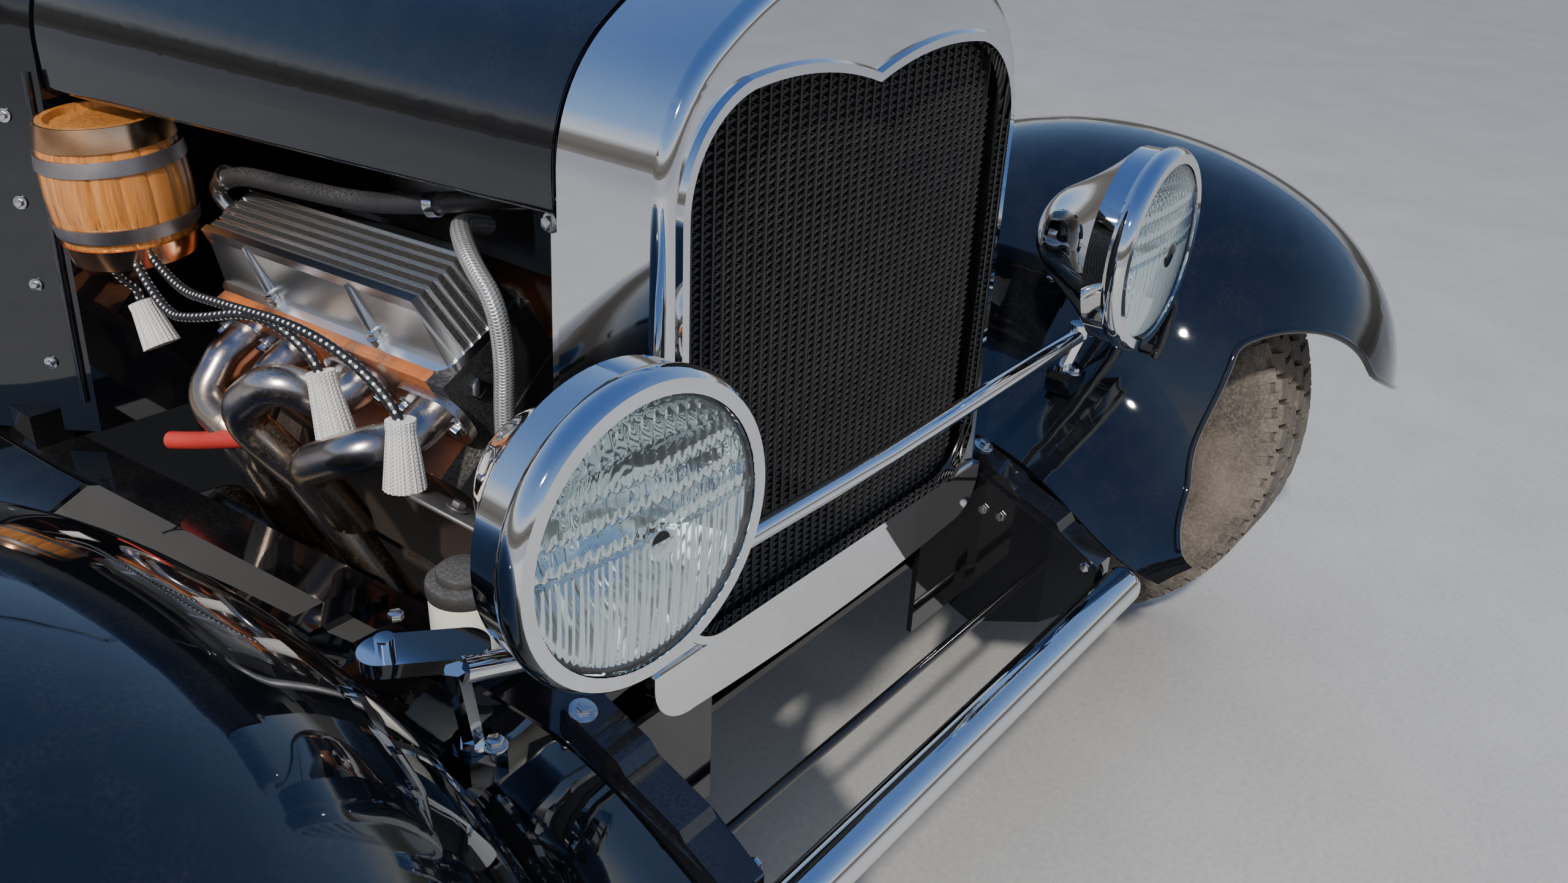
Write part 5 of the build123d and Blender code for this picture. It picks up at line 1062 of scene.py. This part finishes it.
class HOTROD_OT_beads(bpy.types.Operator):
    """Rolls a bead along the edges of the fenders and down the cowl's front corners"""

    bl_idname = "hotrod.beads"
    bl_label = "Edge beads"

    # Angle round the wheel in degrees and distance of the outer edge from its centre in millimetres
    FRONT_EDGE = [
        (11, 421), (22, 400), (45, 365), (70, 330), (95, 322), (120, 330), (142, 352), (160, 400), (174, 462),
    ]
    REAR_EDGE = [(4, 490), (25, 425), (55, 392), (90, 385), (125, 390), (155, 402), (185, 415)]
    # Three-point arcs of the front opening seen from ahead, x and z in millimetres
    OPENING = [
        ((330, 322), (392, 342), (438, 386)), ((438, 386), (466, 456), (506, 532)),
        ((506, 532), (563, 547), (641, 487)), ((641, 487), (730, 446), (838, 412)),
    ]

    def execute(self, context):
        front, rear = self.tree("front_fenders"), self.tree("rear_fenders")
        bm = bmesh.new()
        for side in (-1, 1):
            rims = [
                self.opening(front, side),
                self.lip(front, side, FRONT_AXLE_Y, 0.332, 0.838, self.FRONT_EDGE),
                self.lip(rear, side, REAR_AXLE_Y, 0.362, 0.868, self.REAR_EDGE),
            ]
            for rim in rims:
                add_tube(bm, rim, BEAD_RADIUS, 10, 110)
        piece("fender_beads", bm, "paint", sharp=60.0)
        self.cowl_edge()
        return {"FINISHED"}

    def cowl_edge(self):
        """Half-round bead down each front corner of the cowl, with the bolts of its flange."""
        tree = self.tree("body_tub")
        beads, bolts = bmesh.new(), bmesh.new()
        for side in (-1, 1):
            corner, flange = [], []
            for step in range(9):
                z = 0.47 + 0.32 * step / 8
                for y, row in ((0.698, corner), (0.720, flange)):
                    outside = Vector((side * 1.2, GRILLE_Y + y, z))
                    hit, normal = tree.ray_cast(outside, Vector((-side, 0, 0)))[:2]
                    if hit is not None:
                        row.append((hit, normal))
            add_tube(beads, [hit for hit, _ in corner], 0.0042, 10, 40)
            for hit, normal in flange[1::2]:
                out = normal if normal.x * side > 0 else -normal
                add_bolt(bolts, axis_matrix(hit, hit + out), 0.004, 0.003, 0.0065)
        piece("cowl_beads", beads, "paint", sharp=60.0)
        piece("cowl_bolts", bolts, "steel")

    def tree(self, node):
        """Search tree of a solid's skin."""
        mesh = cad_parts[node].data
        corners = [v.co.copy() for v in mesh.vertices]
        return BVHTree.FromPolygons(corners, [tuple(p.vertices) for p in mesh.polygons])

    def opening(self, tree, side):
        """Points of the front opening on the skin, each pushed from ahead a little inside the edge."""
        flat = []
        for first, middle, last in self.OPENING:
            flat += self.arc(first, middle, last, 7)[:-1]
        flat.append(self.OPENING[-1][2])
        spots = []
        for index, (x, z) in enumerate(flat):
            ahead = flat[min(index + 1, len(flat) - 1)]
            behind = flat[max(index - 1, 0)]
            run = Vector((ahead[0] - behind[0], ahead[1] - behind[1])).normalized()
            start = Vector((side * (x - run.y * 1.5) * MM, -2.2, (z + run.x * 1.5) * MM))
            hit = tree.ray_cast(start, Vector((0, 1, 0)))[0]
            if hit is not None and hit.y < FRONT_AXLE_Y:
                spots.append(hit)
        return spots

    def arc(self, first, middle, last, steps):
        """Points of the circle through three points."""
        (ax, ay), (bx, by), (cx, cy) = first, middle, last
        scale = 2 * (ax * (by - cy) + bx * (cy - ay) + cx * (ay - by))
        a, b, c = ax * ax + ay * ay, bx * bx + by * by, cx * cx + cy * cy
        ux = (a * (by - cy) + b * (cy - ay) + c * (ay - by)) / scale
        uy = (a * (cx - bx) + b * (ax - cx) + c * (bx - ax)) / scale
        radius = math.hypot(ax - ux, ay - uy)
        start, end = math.atan2(ay - uy, ax - ux), math.atan2(cy - uy, cx - ux)
        turn = (end - start + math.pi) % (2 * math.pi) - math.pi
        angles = [start + turn * step / steps for step in range(steps + 1)]
        return [(ux + radius * math.cos(t), uy + radius * math.sin(t)) for t in angles]

    def lip(self, tree, side, y, z, x, stations):
        """Points of the outer edge, taken to the nearest skin."""
        spots = []
        for (low, near), (high, far) in zip(stations, stations[1:]):
            for step in range(4):
                share = step / 4
                turn = math.radians(low + (high - low) * share)
                reach = (near + (far - near) * share) * MM
                spots.append(Vector((side * x, y - reach * math.cos(turn), z + reach * math.sin(turn))))
        turn, reach = math.radians(stations[-1][0]), stations[-1][1] * MM
        spots.append(Vector((side * x, y - reach * math.cos(turn), z + reach * math.sin(turn))))
        return [tree.find_nearest(spot)[0] for spot in spots]


class HOTROD_OT_wheel_trim(bpy.types.Operator):
    """Plates the hub caps and trim rings of the wheels"""

    bl_idname = "hotrod.wheel_trim"
    bl_label = "Wheel trim"

    def execute(self, context):
        table = [("front", FRONT_HUB_X, FRONT_TYRE_WIDTH), ("rear", REAR_HUB_X, REAR_TYRE_WIDTH)]
        for end, hub_x, width in table:
            for sign, side in ((1, "left"), (-1, "right")):
                low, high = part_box(f"tyre_{end}_{side}")
                centre = Vector((sign * hub_x, (low.y + high.y) / 2, (low.z + high.z) / 2))
                bm = bmesh.new()
                middle = CAP_REACH - CAP_RADIUS
                dome = []
                for step in range(15):
                    turn = math.radians(33.6 * step / 14)
                    swell = CAP_RADIUS + 0.0012 + 0.0025 * math.exp(-(((step - 9) / 1.2) ** 2))
                    dome.append((middle + swell * math.cos(turn), swell * math.sin(turn)))
                dome += [(0.0435, 0.0885), (0.0425, 0.0905), (0.0385, 0.0900), (0.0380, 0.0870)]
                spun(bm, [centre + Vector((sign * x, 0, r)) for x, r in dome], centre, (1, 0, 0), 72)
                section = ring_section(width * 0.4 + 0.0033, RIM_EDGE, 0.0055)
                ring = [centre + Vector((sign * along, 0, out)) for along, out in section]
                spun(bm, ring, centre, (1, 0, 0), 96, closed=True)
                piece(f"wheel_trim_{end}_{side}", bm, "chrome", f"wheel_{end}_{side}", sharp=40.0)
        return {"FINISHED"}


class HOTROD_OT_gauges(bpy.types.Operator):
    """Puts blank dials with needles, ticks and bezels in the dash"""

    bl_idname = "hotrod.gauges"
    bl_label = "Gauges"

    def execute(self, context):
        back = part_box("dashboard")[1].y - 0.004
        faces, marks, bezels = bmesh.new(), bmesh.new(), bmesh.new()
        for number, x in enumerate((-0.120, -0.040, 0.040, 0.120)):
            centre = Vector((x, back, 0.902))
            add_rod(faces, centre, centre + Vector((0, 0.001, 0)), DIAL_RADIUS, 48)
            for tick in range(13):
                turn = math.radians(-130 + 260 * tick / 12)
                spot = Matrix.Translation(centre + Vector((0, 0.0013, 0))) @ Matrix.Rotation(turn, 4, "Y")
                long = 0.006 if tick % 3 == 0 else 0.0035
                out = Matrix.Translation((0, 0, DIAL_RADIUS - 0.002 - long / 2))
                add_block(marks, spot @ out, (0.0009, 0.0006, long))
            lift = Matrix.Translation(centre + Vector((0, 0.002, 0)))
            turn = lift @ Matrix.Rotation(-1.2 + number * 0.7, 4, "Y")
            add_rod(marks, turn @ Vector((0, 0, -0.005)), turn @ Vector((0, 0, 0.018)), 0.0009, 10, 0.0003)
            add_rod(marks, centre, centre + Vector((0, 0.003, 0)), 0.003, 20, bevel=0.0005)
            section = ring_section(0.0045, DIAL_RADIUS + 0.0013, 0.0018)
            ring = [centre + Vector((0, along, out)) for along, out in section]
            spun(bezels, ring, centre, (0, 1, 0), 64, closed=True)
        piece("gauge_faces", faces, "dial")
        piece("gauge_needles", marks, "grip")
        piece("gauge_bezels", bezels, "chrome")
        return {"FINISHED"}


class HOTROD_OT_cords(bpy.types.Operator):
    """Runs the plug wires, hoses and cable that are held at both ends"""

    bl_idname = "hotrod.cords"
    bl_label = "Wires and hoses"

    # Top and foot of each plug boot, and the way its wire takes to it, in millimetres
    PLUGS = [
        (
            (-288, 218, 600), (-293, 214, 544),
            [(-288, 575, 646), (-296, 520, 628), (-304, 440, 640), (-298, 300, 652)],
        ),
        (
            (-290, 318, 610), (-291, 303, 552),
            [(-300, 580, 642), (-312, 520, 610), (-314, 460, 622), (-300, 380, 648)],
        ),
        (
            (-292, 601, 594), (-290, 580, 556),
            [(-310, 590, 652), (-316, 590, 640), (-310, 598, 626), (-298, 602, 612)],
        ),
    ]
    # Way of each hose in millimetres
    BRAIDED = [
        (-128, 300, 700), (-166, 280, 716), (-194, 252, 722), (-214, 214, 708), (-214, 188, 684),
        (-208, 188, 636), (-212, 190, 580), (-206, 196, 520),
    ]
    RUBBER = [
        (-222, 553, 702), (-222, 534, 716), (-220, 440, 722), (-216, 342, 728), (-200, 262, 742),
        (-170, 230, 748), (-120, 226, 740),
    ]
    ELBOW = [(-222, 540, 712), (-223, 562, 702), (-220, 564, 684), (-212, 548, 670)]
    RED = [(-308, 560, 470), (-300, 529, 477), (-302, 470, 500), (-300, 420, 518)]

    def execute(self, context):
        self.wires()
        self.hose("braided_hose", self.BRAIDED, 18, 90, "silver_braid", "chrome")
        self.hose("rubber_hose", self.RUBBER, 18, 90, "hose", "dark_metal")
        self.fittings()
        self.hose("red_cable", self.RED, 16, 40, "red_sleeve", "dark_metal")
        return {"FINISHED"}

    def wires(self):
        """Ribbed plug boots and the braided wires that run into them."""
        boots, leads = bmesh.new(), bmesh.new()
        for top, low, route in self.PLUGS:
            start, end = at_grille(*top), at_grille(*low)
            add_tube(boots, [start, start.lerp(end, 0.5), end], BOOT_RADIUS, 44, 26, self.flare)
            points = [at_grille(*spot) for spot in route]
            points += [start + Vector((0, 0, 0.012)), start - Vector((0, 0, 0.01))]
            add_tube(leads, points, WIRE_RADIUS, 12, 70)
        piece("plug_boots", boots, "boot", sharp=50.0)
        piece("plug_wires", leads, "wire_braid", sharp=60.0)

    def flare(self, share, turn):
        """Radius of a plug boot against its largest: ribs round it, a cuff and a widening foot."""
        rib = 1.0 + 0.035 * math.cos(turn * 2 * math.pi * 22)
        waist = 0.72 + 0.42 * share if share > 0.12 else 0.80
        return rib * waist

    def hose(self, name, route, sides, samples, finish, slot):
        bm = bmesh.new()
        add_tube(bm, [at_grille(*spot) for spot in route], HOSE_RADIUS, sides, samples)
        piece(name, bm, finish, sharp=60.0)

    def fittings(self):
        """Elbow at the rubber hose's rear end and the collars on both ends."""
        elbow = bmesh.new()
        add_tube(elbow, [at_grille(*spot) for spot in self.ELBOW], 0.0068, 16, 30)
        add_rod(elbow, at_grille(-216, 556, 678), at_grille(-211, 546, 668), 0.0105, 6, bevel=0.0008)
        for spot, ahead in (((-222, 546, 708), (-222, 540, 712)), ((-204, 274, 739), (-201, 266, 741))):
            start, end = at_grille(*spot), at_grille(*ahead)
            add_rod(elbow, start, end, 0.0105, 32, bevel=0.0006)
        piece("hose_fittings", elbow, "steel")


class HOTROD_OT_brackets(bpy.types.Operator):
    """Adds the canister, plates and brackets beside the engine"""

    bl_idname = "hotrod.brackets"
    bl_label = "Engine bay fittings"

    def execute(self, context):
        bm = bmesh.new()
        add_rod(bm, at_grille(-315, 120, 440), at_grille(-315, 120, 500), 0.027, 36, bevel=0.002)
        piece("canister", bm, "dial")
        bm = bmesh.new()
        add_rod(bm, at_grille(-315, 120, 500), at_grille(-315, 120, 514), 0.0285, 36, bevel=0.003)
        add_rod(bm, at_grille(-315, 120, 513), at_grille(-315, 120, 522), 0.02, 36, bevel=0.003)
        piece("canister_cap", bm, "plate")
        bm = bmesh.new()
        turn = Matrix.Translation(at_grille(-276, 176, 530)) @ Euler((0.35, 0.45, 0.5)).to_matrix().to_4x4()
        add_block(bm, turn, (0.05, 0.06, 0.004), 0.0015)
        add_rod(bm, at_grille(-276, 176, 528), at_grille(-240, 230, 500), 0.006, 16)
        add_bolt(bm, turn @ Matrix.Translation((0, 0, 0.002)), 0.006, 0.005, 0.009)
        piece("grey_plates", bm, "plate")
        return {"FINISHED"}


class HOTROD_OT_seats(bpy.types.Operator):
    """Swells the seat cushion and back into soft pads and sews their channels"""

    bl_idname = "hotrod.seats"
    bl_label = "Seats"

    def execute(self, context):
        for node in ("seat_cushion", "seat_back"):
            self.pad(node, properties().seat_crown)
        return {"FINISHED"}

    def pad(self, node, crown):
        """Upholstered pad in the room of its solid, with seams between its rolls."""
        low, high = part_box(node)
        bm = bmesh.new()
        bm.from_mesh(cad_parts[node].data)
        bmesh.ops.remove_doubles(bm, verts=bm.verts, dist=1e-5)
        centre = (low + high) / 2
        size = high - low
        inset = crown * 0.8
        shrink = Matrix.Diagonal([(s - 2 * inset) / s for s in size] + [1.0])
        inward = Matrix.Translation(centre) @ shrink @ Matrix.Translation(-centre)
        bmesh.ops.transform(bm, matrix=inward, verts=bm.verts)
        mesh = bpy.data.meshes.new(f"{node}_pad")
        bm.to_mesh(mesh)
        bm.free()
        obj = bpy.data.objects.new(f"{node}_pad", mesh)
        bpy.context.scene.collection.objects.link(obj)
        voxel = obj.modifiers.new("voxels", "REMESH")
        voxel.mode = "VOXEL"
        voxel.voxel_size = PAD_CELL
        self.apply(obj)
        self.swell(obj, crown)
        roll = size.x / SEAT_ROLLS
        for vert in obj.data.vertices:
            share = ((vert.co.x - low.x) / roll) % 1.0
            near = min(share, 1.0 - share) * roll
            vert.co -= vert.normal * (SEAM_DEPTH * math.exp(-((near / SEAM_SPREAD) ** 2)))
        smooth = obj.modifiers.new("relax", "SMOOTH")
        smooth.factor = 0.5
        smooth.iterations = 3
        self.apply(obj)
        finer = obj.modifiers.new("finer", "SUBSURF")
        finer.levels = finer.render_levels = 1
        obj.data.shade_smooth()
        obj.data.materials.clear()
        obj.data.materials.append(MATERIALS["leather"])
        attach(obj, "chassis")
        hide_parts(node)

    def apply(self, obj):
        """Turns the modifiers' result into the piece's own mesh."""
        bpy.context.view_layer.update()
        shaped = bpy.data.meshes.new_from_object(obj.evaluated_get(bpy.context.evaluated_depsgraph_get()))
        obj.modifiers.clear()
        obj.data = shaped

    def swell(self, obj, cap):
        """Cloth under pressure without gravity for a few frames, each point moved by the cap at most."""
        rest = [v.co.copy() for v in obj.data.vertices]
        cloth = obj.modifiers.new("swell", "CLOTH")
        cloth.settings.use_pressure = True
        cloth.settings.uniform_pressure_force = PAD_PRESSURE
        cloth.settings.quality = 4
        cloth.settings.effector_weights.gravity = 0.0
        cloth.point_cache.frame_start = 1
        cloth.point_cache.frame_end = PAD_FRAMES
        scene = bpy.context.scene
        for number in range(1, PAD_FRAMES + 1):
            scene.frame_set(number)
        self.apply(obj)
        scene.frame_set(1)
        for vert, start in zip(obj.data.vertices, rest):
            move = vert.co - start
            if move.length > cap:
                vert.co = start + move.normalized() * cap


class HOTROD_OT_stage(bpy.types.Operator):
    """Sets the floor, the soft light and the camera"""

    bl_idname = "hotrod.stage"
    bl_label = "Stage"

    def execute(self, context):
        self.floor()
        self.lights()
        self.camera()
        return {"FINISHED"}

    def floor(self):
        """Wide pale floor just under the tyres."""
        bm = bmesh.new()
        bmesh.ops.create_grid(bm, x_segments=2, y_segments=2, size=120.0)
        mesh = bpy.data.meshes.new("floor")
        bm.to_mesh(mesh)
        bm.free()
        material = bpy.data.materials.new("pale floor")
        material.use_nodes = True
        g = Graph(material.node_tree)
        shader = material.node_tree.nodes["Principled BSDF"]
        tone = g.noise(g.coords(), 3.0, 8.0, 0.7)
        grit = g.noise(g.coords(), 120.0, 3.0, 0.7)
        mottle = g.math("MULTIPLY_ADD", grit, 0.5, g.math("MULTIPLY", tone, 0.5))
        colour = g.ramp(mottle, [(0.3, (0.31, 0.298, 0.275)), (0.7, (0.43, 0.415, 0.385))])
        g.join(colour, shader.inputs["Base Color"])
        shader.inputs["Roughness"].default_value = 0.9
        mesh.materials.append(material)
        floor = bpy.data.objects.new("floor", mesh)
        bpy.context.scene.collection.objects.link(floor)
        floor.location.z = -0.002

    def lights(self):
        """Sky with a dark horizon, a low sun and two soft lamps."""
        world = bpy.data.worlds.new("soft sky")
        world.use_nodes = True
        bpy.context.scene.world = world
        g = Graph(world.node_tree)
        back = world.node_tree.nodes["Background"]
        split = g.node("ShaderNodeSeparateXYZ")
        g.join(g.node("ShaderNodeTexCoord").outputs["Generated"], split.inputs[0])
        sky = g.ramp(
            g.mask(split.outputs["Z"], -0.25, 1.0),
            [
                (0.0, (0.30, 0.29, 0.27)),
                (0.095, (0.26, 0.25, 0.24)),
                (0.15, (0.15, 0.14, 0.13)),
                (0.23, (0.22, 0.21, 0.2)),
                (0.29, (0.72, 0.76, 0.82)),
                (0.45, (0.3, 0.47, 0.8)),
                (1.0, (0.07, 0.16, 0.45)),
            ],
        )
        g.join(sky, back.inputs["Color"])
        back.inputs["Strength"].default_value = 0.85
        sun = bpy.data.lights.new("key", "SUN")
        sun.energy = 3.6
        sun.angle = math.radians(2.5)
        sun.color = (1.0, 0.955, 0.89)
        key = bpy.data.objects.new("key", sun)
        key.rotation_euler = Vector((0.72, 0.30, -0.62)).to_track_quat("-Z", "Y").to_euler()
        bpy.context.scene.collection.objects.link(key)
        table = [
            ("fill", (-3.5, -3.2, 2.6), 3.0, 90.0, (1.0, 0.97, 0.94)),
            ("top", (0.5, -1.5, 4.2), 3.5, 110.0, (0.9, 0.95, 1.0)),
        ]
        for name, place, size, power, colour in table:
            lamp = bpy.data.lights.new(name, "AREA")
            lamp.size = size
            lamp.energy = power
            lamp.color = colour
            holder = bpy.data.objects.new(name, lamp)
            holder.location = place
            aim = Vector((0, -1.2, 0.5)) - Vector(place)
            holder.rotation_euler = aim.to_track_quat("-Z", "Y").to_euler()
            holder.visible_glossy = False
            bpy.context.scene.collection.objects.link(holder)

    def camera(self):
        """Camera at the front right corner, looking down at the grille."""
        yaw, pitch, roll = CAMERA_YAW, CAMERA_PITCH, CAMERA_ROLL
        ahead = Vector((math.sin(yaw) * math.cos(pitch), math.cos(yaw) * math.cos(pitch), -math.sin(pitch)))
        right = Vector((math.cos(yaw), -math.sin(yaw), 0.0))
        up = right.cross(ahead)
        turned_right = right * math.cos(roll) + up * math.sin(roll)
        turned_up = up * math.cos(roll) - right * math.sin(roll)
        data = bpy.data.cameras.new("camera")
        data.sensor_width = SENSOR_WIDTH
        data.lens = SENSOR_WIDTH * LENS_PIXELS / FRAME_PIXELS
        data.clip_start = 0.02
        camera = bpy.data.objects.new("camera", data)
        turn = Matrix((turned_right, turned_up, -ahead)).transposed()
        camera.matrix_world = Matrix.Translation(CAMERA_PLACE) @ turn.to_4x4()
        bpy.context.scene.collection.objects.link(camera)
        bpy.context.scene.camera = camera


class HOTROD_PT_panel(bpy.types.Panel):
    """Lists the sizes, the colours and the operators"""

    bl_idname = "HOTROD_PT_panel"
    bl_label = "Hot Rod"
    bl_space_type = "VIEW_3D"
    bl_region_type = "UI"
    bl_category = "Hot Rod"

    def draw(self, context):
        props = context.scene.hot_rod
        for name in props.bl_rna.properties.keys():
            if name not in ("rna_type", "name"):
                self.layout.prop(props, name)
        for operator in OPERATORS:
            self.layout.operator(operator.bl_idname)


OPERATORS = [
    HOTROD_OT_finishes,
    HOTROD_OT_radiator_fins,
    HOTROD_OT_tyres,
    HOTROD_OT_keg,
    HOTROD_OT_lamps,
    HOTROD_OT_fasteners,
    HOTROD_OT_beads,
    HOTROD_OT_wheel_trim,
    HOTROD_OT_gauges,
    HOTROD_OT_cords,
    HOTROD_OT_brackets,
    HOTROD_OT_seats,
    HOTROD_OT_stage,
]
CLASSES = [HotRodProperties, *OPERATORS, HOTROD_PT_panel]


def register():
    for cls in CLASSES:
        bpy.utils.register_class(cls)
    bpy.types.Scene.hot_rod = bpy.props.PointerProperty(type=HotRodProperties)


def unregister():
    del bpy.types.Scene.hot_rod
    for cls in reversed(CLASSES):
        bpy.utils.unregister_class(cls)


def main():
    register()
    for operator in OPERATORS:
        group, name = operator.bl_idname.split(".")
        getattr(getattr(bpy.ops, group), name)()


if __name__ == "__main__":
    main()
